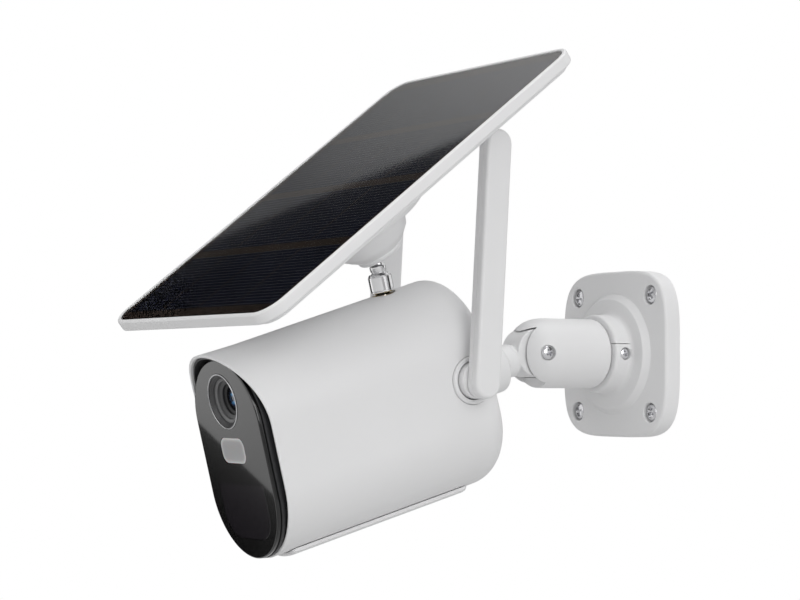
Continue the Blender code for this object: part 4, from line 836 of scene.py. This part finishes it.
# Painted highlight: the base colour lightens in a band just inside the window's rounded edge, where the edge
# catches the light.
painted_rim_highlight = ramp(tree, maths(tree, 'DIVIDE', reach, LIGHT_CORNER),
                [(0.0, (0.36, 0.36, 0.365)), (0.55, (0.38, 0.38, 0.385)), (0.78, (0.50, 0.50, 0.50)),
                 (0.93, (0.66, 0.66, 0.66)), (1.0, (0.5, 0.5, 0.5))])
link(tree, painted_rim_highlight, shader.inputs["Base Color"])
frost = noise(tree, 3000.0, 3.0)
roughen(tree, shader, frost, 0.12, 0.0002)
shader.inputs["Subsurface Weight"].default_value = 0.2
shader.inputs["Subsurface Scale"].default_value = 0.0015
place(window(light_shape, 0.12 * MM), "lamp_window", frosted, "head", "diffuser", "light_window",
      at=HEAD @ Matrix.Translation((0, 0, LIGHT_U)) @ FORWARD)
SENSOR_GLOSS = polished("sensor_window_gloss", (0.009, 0.007, 0.010), 0.04)
place(window(sense_shape, 0.16 * MM), "motion_window", SENSOR_GLOSS, "head", "gloss_black", "sensor_window",
      at=HEAD @ Matrix.Translation((0, 0, sense_middle)) @ FORWARD)

lens_place = HEAD @ Matrix.Translation((0, 0, LENS_U)) @ FORWARD
SATIN_RING = metal("satin_ring", (0.62, 0.62, 0.63), 0.30, 1200.0, 0.05)
ring = turned("ring", [(LENS_RING_R, face_back), (LENS_RING_R, FACE_FRONT + 0.15 * MM),
                       (LENS_RING_R - 0.1 * MM, FACE_FRONT + 0.28 * MM),
                       (LENS_RING_R - 0.42 * MM, FACE_FRONT + 0.3 * MM),
                       (LENS_RING_R - 0.55 * MM, FACE_FRONT + 0.2 * MM), (LENS_RING_R - 0.6 * MM, face_back)],
              ROUND, True)
place(shade(ring, 30), "lens_trim_ring", SATIN_RING, "head", "bright_steel", "lens_ring", at=lens_place)
LENS_R = 4.6 * MM
baffle_r = LENS_RING_R - 0.7 * MM
baffle_back = face_back - 4.4 * MM
steps = [(baffle_r, FACE_FRONT - 0.15 * MM), (baffle_r - 0.25 * MM, FACE_FRONT - 0.1 * MM),
         (baffle_r - 1.3 * MM, FACE_FRONT - 1.1 * MM), (baffle_r - 1.4 * MM, FACE_FRONT - 1.7 * MM),
         (baffle_r - 2.5 * MM, FACE_FRONT - 2.1 * MM), (baffle_r - 2.6 * MM, FACE_FRONT - 3.1 * MM),
         (LENS_R + 1.3 * MM, FACE_FRONT - 3.5 * MM), (LENS_R + 1.2 * MM, FACE_FRONT - 4.3 * MM),
         (LENS_R + 0.2 * MM, FACE_FRONT - 4.7 * MM), (LENS_R + 0.15 * MM, baffle_back),
         (baffle_r, baffle_back)]
baffle = turned("baffle", steps, ROUND, True)
BAFFLE, tree, shader = material("anodised_baffle", (0.1, 0.1, 0.1), 0.4)
across, upward = axes(tree)[:2]
radius = far(tree, across, upward)
# Painted shade and highlight: each step of the baffle gets its own grey by radius, standing in for how the
# light falls on the steps.
painted_step_shade = ramp(tree, maths(tree, 'DIVIDE', radius, LENS_RING_R),
                  [(0.44, (0.012, 0.012, 0.013)), (0.54, (0.02, 0.02, 0.021)), (0.58, (0.06, 0.06, 0.062)),
                   (0.67, (0.10, 0.10, 0.102)), (0.70, (0.16, 0.16, 0.162)), (0.79, (0.13, 0.13, 0.132)),
                   (0.82, (0.045, 0.045, 0.047)), (0.93, (0.06, 0.06, 0.062))])
link(tree, painted_step_shade, shader.inputs["Base Color"])
turning = noise(tree, 1400.0, 2.0)
roughen(tree, shader, turning, 0.1, 0.0002)
place(shade(baffle, 20), "lens_stepped_baffle", BAFFLE, "head", "grey_plastic", "lens_baffle", at=lens_place)

COATED, tree, shader = material("coated_lens", (0.01, 0.02, 0.05), 0.03)
across, upward = axes(tree)[:2]
radius = far(tree, across, upward)
# Painted reflection: the blue and cyan rings in the base colour stand in for reflections in the lens coating;
# the noise below breaks them into patches.
painted_coating_reflection = ramp(tree, maths(tree, 'DIVIDE', radius, LENS_R),
             [(0.0, (0.002, 0.004, 0.01)), (0.18, (0.005, 0.01, 0.03)), (0.26, (0.03, 0.20, 0.38)),
              (0.42, (0.10, 0.42, 0.62)), (0.50, (0.02, 0.07, 0.22)), (0.60, (0.012, 0.02, 0.05)),
              (0.78, (0.02, 0.02, 0.024)), (1.0, (0.008, 0.008, 0.01))])
patch = ramp(tree, noise(tree, 420.0, 1.0), [(0.38, (0.12, 0.12, 0.12)), (0.56, (1.0, 1.0, 1.0))])
painted_reflection_colour = tree.nodes.new("ShaderNodeVectorMath")
painted_reflection_colour.operation = 'MULTIPLY'
link(tree, painted_coating_reflection, painted_reflection_colour.inputs[0])
link(tree, patch, painted_reflection_colour.inputs[1])
link(tree, painted_reflection_colour.outputs[0], shader.inputs["Base Color"])
shader.inputs["Coat Weight"].default_value = 1.0
shader.inputs["Coat Roughness"].default_value = 0.01
shader.inputs["Coat Tint"].default_value = (0.75, 0.85, 1.0, 1)
glass_front = baffle_back + 1.6 * MM
dome = [(LENS_R * math.sin(a), glass_front - 1.2 * MM * (1 - math.cos(a)))
        for a in (math.radians(d) for d in range(0, 91, 6))]
lens = turned("lens", dome + [(LENS_R, baffle_back), (0, baffle_back)])
place(shade(lens, 30), "lens_front_element", COATED, "head", "clear_glass", "lens_glass", at=lens_place)

# ---- inside the housing -------------------------------------------------------------------------
# Boards, lamps, motion sensor, radio can, loudspeaker, and three cells in their holder; they show
# only when the face or the cover is off.


def dress(finish, *names):
    """Gives carried-over pieces a worked material."""
    for name in names:
        mesh = nodes[name].data
        mesh.materials.clear()
        mesh.materials.append(finish)


BOARD, tree, shader = material("circuit_board", (0.02, 0.16, 0.07), 0.4)
traces = tree.nodes.new("ShaderNodeTexVoronoi")
traces.feature, traces.distance = 'F1', 'CHEBYCHEV'
traces.inputs["Scale"].default_value = 420.0
place_in = tree.nodes.new("ShaderNodeTexCoord")
link(tree, place_in.outputs["Object"], traces.inputs["Vector"])
track = ramp(tree, traces.outputs["Distance"], [(0.0, (0.55, 0.42, 0.16)), (0.10, (0.50, 0.38, 0.14)),
                                                (0.12, (0.012, 0.11, 0.045)), (0.5, (0.018, 0.15, 0.06)),
                                                (0.62, (0.03, 0.22, 0.10))])
link(tree, track, shader.inputs["Base Color"])
shader.inputs["Coat Weight"].default_value = 0.5
WRAP, tree, shader = material("cell_sleeve", (0.06, 0.2, 0.55), 0.3)
crease = noise(tree, 300.0, 4.0, 0.7)
sleeve = ramp(tree, crease, [(0.35, (0.045, 0.16, 0.46)), (0.65, (0.07, 0.24, 0.62))])
link(tree, sleeve, shader.inputs["Base Color"])
roughen(tree, shader, crease, 0.15, 0.0002)
CAN = metal("tinned_can", (0.70, 0.70, 0.69), 0.32, 500.0, 0.1)
BRASS = metal("turned_brass", (0.70, 0.52, 0.24), 0.28, 1500.0, 0.15)
PHOSPHOR = moulded("lamp_phosphor", (0.75, 0.62, 0.12), 0.4, 3000.0, 0.1, 0.15)
dress(BOARD, "sensor_board", "front_board", "main_board")
dress(PHOSPHOR, "lamp_1", "lamp_2")
dress(CAN, "motion_sensor", "radio_can", "charging_port")
dress(BLACK, "loudspeaker", "battery_holder", "card_slot", "lens_barrel")
dress(WRAP, "battery_cell_1", "battery_cell_2", "battery_cell_3")
dress(BRASS, "post_insert", "antenna_strip_right", "antenna_strip_left")

# ---- antennas -----------------------------------------------------------------------------------
# Each side has a raised soft ring moulded into the wall, a hub that turns in it, and a long flat
# paddle glued up from two halves with a seam along its edge.

HUB_R, PADDLE_HALF, PADDLE_THICK = 7.1 * MM, 5.6 * MM, 7.0 * MM
PADDLE_UP, PADDLE_DOWN = 96.0 * MM, 7.0 * MM
paddle_in = antenna_side + 3.9 * MM
seam = paddle_in + PADDLE_THICK / 2
socket_top, socket_low = antenna_side + 1.0 * MM, antenna_side - 8.5 * MM
hub_bore = HUB_R + 0.4 * MM
ANTENNA_LEAN = math.radians(3.2)                            # back from upright
antenna_frame = (HEAD @ Matrix.Translation((0, -ANTENNA_F, ANTENNA_U))
                 @ Matrix.Rotation(-ANTENNA_LEAN - HEAD_PITCH, 4, 'X'))


def paddle_ring(inset, out):
    """One outline of the paddle, across its width and along its length, at a distance out."""
    half = PADDLE_HALF - inset
    points = (arc((0, PADDLE_HALF - PADDLE_DOWN), half, 180, 360, 28)
              + arc((0, PADDLE_UP - PADDLE_HALF), half, 0, 180, 28))
    return [(x, y, out) for x, y in points]


for side, sign in (("right", 1), ("left", -1)):
    turn = ALONG_X if sign > 0 else AGAINST_X
    upright = Matrix.Rotation(math.radians(90 * sign), 4, 'Z') @ Matrix.Rotation(math.radians(90), 4, 'X')
    collar_ring = [(ANTENNA_SOCKET_R, socket_low), (2.7 * MM, socket_low), (2.7 * MM, socket_low + 1.5 * MM),
                   (hub_bore, socket_low + 1.5 * MM)]
    collar_ring += arc((hub_bore + 0.5 * MM, socket_top - 0.5 * MM), 0.5 * MM, 180, 90, 4)
    collar_ring += arc((ANTENNA_SOCKET_R - 0.75 * MM, socket_top - 0.75 * MM), 0.75 * MM, 90, 0, 6)
    socket = turned("socket", list(reversed(collar_ring)), ROUND, True)
    place(shade(socket, 35), f"antenna_seat_{side}", WHITE, "head", "white_plastic", f"antenna_socket_{side}",
          at=HEAD @ Matrix.Translation((0, -ANTENNA_F, ANTENNA_U)) @ turn)
    hub_top = paddle_in - 0.05 * MM
    hub = turned("hub", [(0, hub_top), (HUB_R - 0.4 * MM, hub_top)]
                 + arc((HUB_R - 0.8 * MM, hub_top - 0.8 * MM), 0.8 * MM, 90, 0, 6)[1:]
                 + [(HUB_R, antenna_side - 6.5 * MM), (2.3 * MM, antenna_side - 6.5 * MM),
                    (2.3 * MM, antenna_side - 8 * MM), (0, antenna_side - 8 * MM)])
    place(shade(hub, 35), f"antenna_pivot_hub_{side}", WHITE, f"antenna_{side}", "white_plastic",
          f"antenna_hub_{side}", at=antenna_frame @ turn)
    edge_r, groove = 1.3 * MM, 0.12 * MM
    inner_rings = [paddle_ring(edge_r - back, paddle_in + edge_r - up)
                   for back, up in arc((0, 0), edge_r, 90, 0, 6)]
    inner_rings += [paddle_ring(0, seam - 0.05 * MM - groove), paddle_ring(groove, seam - 0.05 * MM)]
    half_in = loft("half", inner_rings)
    groove_cut = prism(rounded_box(2.9 * MM, (PADDLE_UP - 6 * MM) / 2, MM, MM), seam - 1.5 * MM, seam + MM)
    groove_cut.location = (0, (PADDLE_UP - 6 * MM) / 2 - MM, 0)
    carve(half_in, 'DIFFERENCE', groove_cut)
    place(shade(half_in, 35), f"antenna_blade_inner_{side}", WHITE, f"antenna_{side}", "white_plastic",
          f"antenna_inner_{side}", at=antenna_frame @ upright)
    outer_rings = [paddle_ring(groove, seam + 0.05 * MM), paddle_ring(0, seam + 0.05 * MM + groove)]
    outer_rings += [paddle_ring(edge_r - back, paddle_in + PADDLE_THICK - edge_r + up)
                    for back, up in arc((0, 0), edge_r, 0, 90, 6)]
    place(shade(loft("half", outer_rings), 35), f"antenna_blade_outer_{side}", WHITE, f"antenna_{side}",
          "white_plastic", f"antenna_outer_{side}", at=antenna_frame @ upright)

# ---- service cover and button -------------------------------------------------------------------
# A thin curved flap over the ports, hinged on its front strap, with rounded edges and a thumb
# notch at the back; behind it a small grey button slides in the wall.

DOOR_BACK, DOOR_FRONT, DOOR_THICK, DOOR_SPAN = 50.0 * MM, 131.0 * MM, 1.5 * MM, 23
door_rings = []
stations = [(DOOR_BACK, 0.25, 0.9), (DOOR_BACK + 0.5 * MM, 0.6, 0.45), (DOOR_BACK + 1.6 * MM, 1.0, 0.0)]
stations += [(f * MM, 1.0, 0.0) for f in (60, 75, 90, 105, 120, 129)]
stations += [(DOOR_FRONT - 0.5 * MM, 0.85, 0.3), (DOOR_FRONT, 0.5, 0.9)]
for f, share, pull in stations:
    half, top, bottom = shell_at(f)
    thick = DOOR_THICK * share
    span = DOOR_SPAN - math.degrees(pull * MM / half)
    points = arc((0, bottom + half), half + 0.3 * MM, -90 - span, -90 + span, 24)
    soft_edge = math.degrees(min(0.6 * MM, thick * 0.5) / half)
    points += [p for k in (0.35, 0.75) for p in arc((0, bottom + half), half + 0.3 * MM + thick * k,
                                                    -90 + span, -90 + span, 1)[:1]]
    points += arc((0, bottom + half), half + 0.3 * MM + thick, -90 + span - soft_edge,
                  -90 - span + soft_edge, 24)
    points += [p for k in (0.75, 0.35) for p in arc((0, bottom + half), half + 0.3 * MM + thick * k,
                                                    -90 - span, -90 - span, 1)[:1]]
    door_rings.append([(x, -f, u) for x, u in points])
door = loft("door", door_rings)
notch_bottom = shell_at(DOOR_BACK + 7 * MM)[2] - 0.3 * MM - DOOR_THICK
notch = turned("notch", [(0, 1.0 * MM), (4.5 * MM, 1.0 * MM), (4.0 * MM, 0.0), (2.6 * MM, -0.6 * MM),
                         (0, -0.8 * MM)], 40)
notch.matrix_world = (Matrix.Translation((0, -DOOR_BACK - 7 * MM, notch_bottom + 0.05 * MM))
                      @ Matrix.Rotation(math.radians(180), 4, 'X') @ Matrix.Scale(1.6, 4, (1, 0, 0)))
carve(door, 'DIFFERENCE', notch)
place(shade(door, 35), "port_cover", WHITE, "cover", "white_plastic", "service_cover", at=HEAD)
GREY = moulded("grey_moulding", (0.30, 0.30, 0.31), 0.5, 1800.0, 0.05, 0.08)
flange = button_low + SHELL_WALL + 0.3 * MM
button = turned("button", [(0, flange + 0.9 * MM), (2.6 * MM, flange + 0.9 * MM), (2.6 * MM, flange),
                           (BUTTON_R, flange), (BUTTON_R, button_low + 0.6 * MM),
                           (BUTTON_R - 0.25 * MM, button_low + 0.28 * MM),
                           (BUTTON_R - 0.7 * MM, button_low + 0.2 * MM),
                           (BUTTON_R - 1.1 * MM, button_low + 0.45 * MM), (0, button_low + 0.55 * MM)], 32)
place(shade(button, 35), "reset_push_button", GREY, "button", "grey_plastic", "reset_button",
      at=HEAD @ Matrix.Translation((0, -BUTTON_F, 0)))

# ---- post, lock nut and ball joint --------------------------------------------------------------
# A chromed stud screws into the roof and ends in a ball; a knurled lock nut tightens on it. The
# ball turns in a grey cup inside the white bowl under the panel.

BALL_U, BALL_R, THREAD_R, POST_NECK_R, POST_NECK_END = 60.9 * MM, 7.5 * MM, 3.175 * MM, 2.4 * MM, 11.3 * MM
NUT_R, NUT_HEIGHT = 4.65 * MM, 7.3 * MM
CHROME = metal("bright_chrome", (0.88, 0.88, 0.89), 0.07, 1500.0, 0.01, 0.05)
neck_top = math.sqrt(BALL_R ** 2 - POST_NECK_R ** 2)
dip = math.degrees(math.asin(neck_top / BALL_R))
profile = [(x, y) for x, y in arc((0, 0), BALL_R, 90, -dip, 40)]
profile += [(POST_NECK_R, -POST_NECK_END + 1.0 * MM), (THREAD_R - 0.25 * MM, -POST_NECK_END + 0.2 * MM),
            (THREAD_R, -POST_NECK_END)]
nut_high = post_top + 0.65 * MM + NUT_HEIGHT - BALL_U
height = nut_high + 1.1 * MM
profile.append((THREAD_R, height + 0.2 * MM))
while height > post_top - 7.4 * MM - BALL_U:                # thread ridges, 20 turns an inch
    profile += [(THREAD_R - 0.45 * MM, height - 0.5 * MM), (THREAD_R - 0.45 * MM, height - 0.65 * MM),
                (THREAD_R, height - 1.15 * MM)]
    height -= 1.27 * MM
stud_low = post_top - 8.3 * MM - BALL_U
profile += [(THREAD_R - 0.4 * MM, stud_low), (0, stud_low)]
stud = turned("stud", profile)
place(shade(stud, 35), "ball_post", CHROME, "head", "bright_steel", "ball_stud",
      at=HEAD @ Matrix.Translation((0, -POST_F, BALL_U)))

knurls, knurl_rows, knurl_depth = 44, 14, 0.16 * MM
low, high = 0.9 * MM, NUT_HEIGHT - 1.1 * MM
knurl_rings = []


def knurl_ring(reach, level_at, phase=None):
    """A ring of the nut; with a phase its points alternate to make one row of diamonds."""
    ring = []
    for k in range(2 * knurls):
        r = reach - (knurl_depth if phase is not None and (k + phase) % 2 else 0.0)
        a = math.tau * k / (2 * knurls)
        ring.append((r * math.cos(a), r * math.sin(a), level_at))
    return ring


nut_bore = THREAD_R + 0.12 * MM
knurl_rings += [knurl_ring(nut_bore, 0.3 * MM), knurl_ring(nut_bore + 0.3 * MM, 0.0),
                knurl_ring(NUT_R - 0.35 * MM, 0.0), knurl_ring(NUT_R - 0.1 * MM, 0.25 * MM),
                knurl_ring(NUT_R - 0.1 * MM, 0.6 * MM), knurl_ring(NUT_R - 0.3 * MM, 0.75 * MM)]
for row in range(knurl_rows + 1):
    knurl_rings.append(knurl_ring(NUT_R, low + (high - low) * row / knurl_rows, row % 2))
knurl_rings += [knurl_ring(NUT_R - 0.3 * MM, NUT_HEIGHT - 0.95 * MM),
                knurl_ring(NUT_R - 0.25 * MM, NUT_HEIGHT - 0.6 * MM),
                knurl_ring(NUT_R - 0.8 * MM, NUT_HEIGHT), knurl_ring(nut_bore + 0.3 * MM, NUT_HEIGHT),
                knurl_ring(nut_bore, NUT_HEIGHT - 0.3 * MM)]
lock_nut = loft("lock_nut", knurl_rings, True)
place(shade(lock_nut, 20), "knurled_lock_nut", CHROME, "nut", "bright_steel", "lock_nut",
      at=HEAD @ Matrix.Translation((0, -POST_F, post_top + 0.65 * MM)))

PANEL_TILT, BALL_DEPTH = math.radians(38.15), 24.5 * MM
ball_at = HEAD @ Vector((0, -POST_F, BALL_U))
PANEL = Matrix.Translation(ball_at) @ Matrix.Rotation(PANEL_TILT, 4, 'X')
cup_in, cup_out, cup_low, cup_high, cup_top = 7.7 * MM, 9.2 * MM, -5.2 * MM, 5.0 * MM, 8.4 * MM
outside = math.degrees(math.asin(-cup_low / cup_out))
inside_low = math.degrees(math.asin(-cup_low / cup_in))
inside_high = math.degrees(math.asin(cup_high / cup_in))
cup = turned("cup", [(cup_out, cup_top)] + arc((0, 0), cup_out, 0, -outside, 12)
             + arc((0, 0), cup_in, -inside_low, inside_high, 20)
             + [(cup_in * math.cos(math.radians(inside_high)), cup_top)], ROUND, True)
place(shade(soften(cup, 0.15 * MM, 2, 35), 35), "ball_seat_cup", GREY, "cup", "grey_plastic", "ball_cup",
      at=PANEL)
cavity_r, mouth_r = cup_out + 0.25 * MM, 7.3 * MM


def level(depth):
    """Height above the ball's centre of a plane this far under the glass."""
    return BALL_DEPTH - depth


bowl_low, flange_top, flange_low = level(32.3 * MM), level(12.25 * MM), level(18.0 * MM)
mouth_dip = math.degrees(math.acos(mouth_r / cavity_r))
bowl = [(27.8 * MM, flange_top), (28.3 * MM, flange_top - 0.5 * MM)]
bowl += arc((28.1 * MM - 1.2 * MM, flange_low + 1.2 * MM), 1.2 * MM, 0, -90, 8)
bowl += arc((17.7 * MM + 1.6 * MM, flange_low - 1.6 * MM), 1.6 * MM, 90, 170, 6)
foot_r = 9.6 * MM
bowl += [(14.9 * MM, bowl_low + 6.4 * MM), (12.6 * MM, bowl_low + 4.2 * MM)]
bowl += arc((foot_r - 1.2 * MM, bowl_low + 1.5 * MM), 1.5 * MM, 20, -90, 8)
bowl += [(mouth_r + 0.3 * MM, bowl_low), (mouth_r, bowl_low + 0.3 * MM)]
bowl += arc((0, 0), cavity_r, -mouth_dip, 0, 16) + [(cavity_r, flange_top)]
place(shade(turned("bowl", bowl, ROUND, True), 30), "ball_joint_bowl", WHITE, "panel", "white_plastic",
      "socket_bowl", at=PANEL)
dress(GREY, "socket_cap")

# ---- solar panel --------------------------------------------------------------------------------
# A white moulded frame with rounded edges holds tempered glass over a sheet of dark cells; a thin
# back with a round pad closes it, and the lead's socket is let into the back.

GLASS_X, GLASS_Y, GLASS_CORNER, GLASS_THICK = 60.64 * MM, 83.07 * MM, 8.5 * MM, 1.2 * MM
FRAME_EDGE, FRAME_THICK, LEDGE, SHEET_THICK = 1.8 * MM, 4.6 * MM, 5.0 * MM, 0.9 * MM


def panel_ring(grow, depth, steps=12):
    """The panel's outline grown or shrunk, at a depth under the glass."""
    outline = rounded_box(GLASS_X, GLASS_Y, GLASS_CORNER, GLASS_CORNER, grow, steps)
    return [(x, y, level(depth)) for x, y in outline]


pocket_depth = GLASS_THICK + SHEET_THICK + 0.6 * MM
frame_r = 0.9 * MM
frame_in = FRAME_EDGE - frame_r
frame_rings = [panel_ring(0.15 * MM, pocket_depth), panel_ring(0.15 * MM, 0.1 * MM),
               panel_ring(0.3 * MM, -0.15 * MM), panel_ring(frame_in, -0.2 * MM)]
frame_rings += [panel_ring(frame_in + x, 0.7 * MM - y) for x, y in arc((0, 0), frame_r, 80, 0, 6)]
frame_rings += [panel_ring(frame_in + x, FRAME_THICK - frame_r - y)
                for x, y in arc((0, 0), frame_r, 0, -90, 6)]
frame_rings += [panel_ring(-LEDGE + 0.2 * MM, FRAME_THICK), panel_ring(-LEDGE, FRAME_THICK - 0.2 * MM),
                panel_ring(-LEDGE, pocket_depth)]
place(shade(loft("rim", frame_rings, True), 35), "panel_surround", WHITE, "panel", "white_plastic",
      "panel_frame", at=PANEL)

back_high = FRAME_THICK + 0.3 * MM
pad_r, pad_depth = 28.8 * MM, 12.0 * MM
cover_rings = [panel_ring(-1.3 * MM, back_high), panel_ring(-1.0 * MM, back_high + 0.3 * MM),
               panel_ring(-1.0 * MM, back_high + 0.8 * MM), panel_ring(-1.5 * MM, back_high + 1.2 * MM)]
back = loft("back", cover_rings)
pad = turned("pad", [(0, level(back_high + 0.5 * MM)), (pad_r + 2.0 * MM, level(back_high + 0.5 * MM)),
                     (pad_r + 2.0 * MM, level(back_high + 1.15 * MM))]
             + arc((pad_r + 1.9 * MM, level(back_high + 3.1 * MM)), 1.9 * MM, 90, 180, 8)
             + arc((pad_r - 0.5 * MM, level(pad_depth - 0.5 * MM)), 0.5 * MM, 0, -90, 4)
             + [(0, level(pad_depth))], 128)
carve(back, 'UNION', pad)
pad_hollow = rod(pad_r - 2.4 * MM, level(pad_depth - 2 * MM), level(back_high - MM), ROUND)
LEAD_Y, LEAD_R = -44 * MM, 6.5 * MM
lead_hole = rod(LEAD_R - 1.5 * MM, level(back_high + 3 * MM), level(back_high - MM))
lead_hole.location = (0, LEAD_Y, 0)
carve(back, 'DIFFERENCE', pad_hollow, lead_hole)
place(shade(back, 32), "panel_rear_cover", WHITE, "panel", "white_plastic", "panel_back", at=PANEL)
socket_top_z = level(back_high + 1.2 * MM + 0.05 * MM)
lead = turned("lead", [(LEAD_R - inset * MM, socket_top_z - under * MM) for inset, under in (
    (2.6, 0), (0, 0), (0, 3.9), (0.3, 4.5), (0.9, 4.8), (2.3, 4.8), (2.6, 4.5))], SMALL_ROUND, True)
place(shade(lead, 35), "panel_lead_socket", SATIN_BLACK, "panel", "black_plastic", "lead_socket",
      at=PANEL @ Matrix.Translation((0, LEAD_Y, 0)))

# The cells: four across and four along, near-black blue, with fine silver fingers along the short
# edge, wide brownish gaps between rows and narrow ones between columns.
CELLS, tree, shader = material("solar_cells", (0.01, 0.01, 0.02), 0.35)
across, along = axes(tree)[:2]
margin_x, margin_y = 3.0 * MM, 3.5 * MM
pitch_x = (2 * GLASS_X - 2 * margin_x) / 4
pitch_y = (2 * GLASS_Y - 2 * margin_y) / 4


def in_cell(value, pitch, gap):
    """1 inside a cell and 0 in the gap, from a distance along one axis."""
    share = maths(tree, 'FRACT', maths(tree, 'ADD', maths(tree, 'DIVIDE', value, pitch), 10.0))
    off = maths(tree, 'ABSOLUTE', maths(tree, 'SUBTRACT', share, 0.5))
    return maths(tree, 'LESS_THAN', off, 0.5 - gap / pitch / 2)


cell_mask = maths(tree, 'MULTIPLY', in_cell(across, pitch_x, 0.7 * MM), in_cell(along, pitch_y, 4.6 * MM))
cell_mask = maths(tree, 'MULTIPLY', cell_mask, maths(tree, 'LESS_THAN', maths(tree, 'ABSOLUTE', across),
                                                      GLASS_X - margin_x))
cell_mask = maths(tree, 'MULTIPLY', cell_mask, maths(tree, 'LESS_THAN', maths(tree, 'ABSOLUTE', along),
                                                      GLASS_Y - margin_y))
finger = maths(tree, 'FRACT', maths(tree, 'DIVIDE', maths(tree, 'ADD', along, 1.0), 1.9 * MM))
finger_mask = maths(tree, 'MULTIPLY', maths(tree, 'LESS_THAN', finger, 0.13), cell_mask)
crystal = noise(tree, 260.0, 2.0)
silicon = ramp(tree, crystal, [(0.3, (0.014, 0.015, 0.026)), (0.7, (0.021, 0.023, 0.038))])
backing = ramp(tree, noise(tree, 900.0, 3.0), [(0.3, (0.050, 0.038, 0.032)), (0.7, (0.070, 0.054, 0.046))])
mix = tree.nodes.new("ShaderNodeMix")
mix.data_type = 'RGBA'
link(tree, cell_mask, mix.inputs[0])
link(tree, backing, mix.inputs[6])
link(tree, silicon, mix.inputs[7])
lines = tree.nodes.new("ShaderNodeMix")
lines.data_type = 'RGBA'
link(tree, finger_mask, lines.inputs[0])
link(tree, mix.outputs[2], lines.inputs[6])
lines.inputs[7].default_value = (0.11, 0.115, 0.13, 1)
link(tree, lines.outputs[2], shader.inputs["Base Color"])
link(tree, maths(tree, 'MULTIPLY_ADD', cell_mask, -0.12, 0.5), shader.inputs["Roughness"])
shader.inputs["Specular IOR Level"].default_value = 0.0
sheet = loft("sheet", [panel_ring(-0.15 * MM, GLASS_THICK + 0.2 * MM + SHEET_THICK),
                       panel_ring(-0.1 * MM, GLASS_THICK + 0.25 * MM),
                       panel_ring(-0.15 * MM, GLASS_THICK + 0.2 * MM)])
place(shade(sheet, 30), "solar_cell_sheet", CELLS, "panel", "solar_cells", "cell_sheet", at=PANEL)

CLEAR, tree, shader = material("tempered_glass", (1, 1, 1), 0.0)
fine = noise(tree, 2200.0, 2.0)
roughen(tree, shader, fine, 0.02, 0.0001)
link(tree, ramp(tree, noise(tree, 30.0, 3.0), [(0.3, 0.02), (0.7, 0.045)]), shader.inputs["Roughness"])
shader.inputs["Transmission Weight"].default_value = 1.0
shader.inputs["IOR"].default_value = 1.5
cover_glass = loft("glass", [panel_ring(-inset * MM, depth * MM) for inset, depth in (
    (0.15, GLASS_THICK / MM), (0.05, GLASS_THICK / MM - 0.15), (0.05, 0.25), (0.3, 0.0))])
place(shade(cover_glass, 30), "panel_cover_glass", CLEAR, "panel", "clear_glass", "panel_glass", at=PANEL)
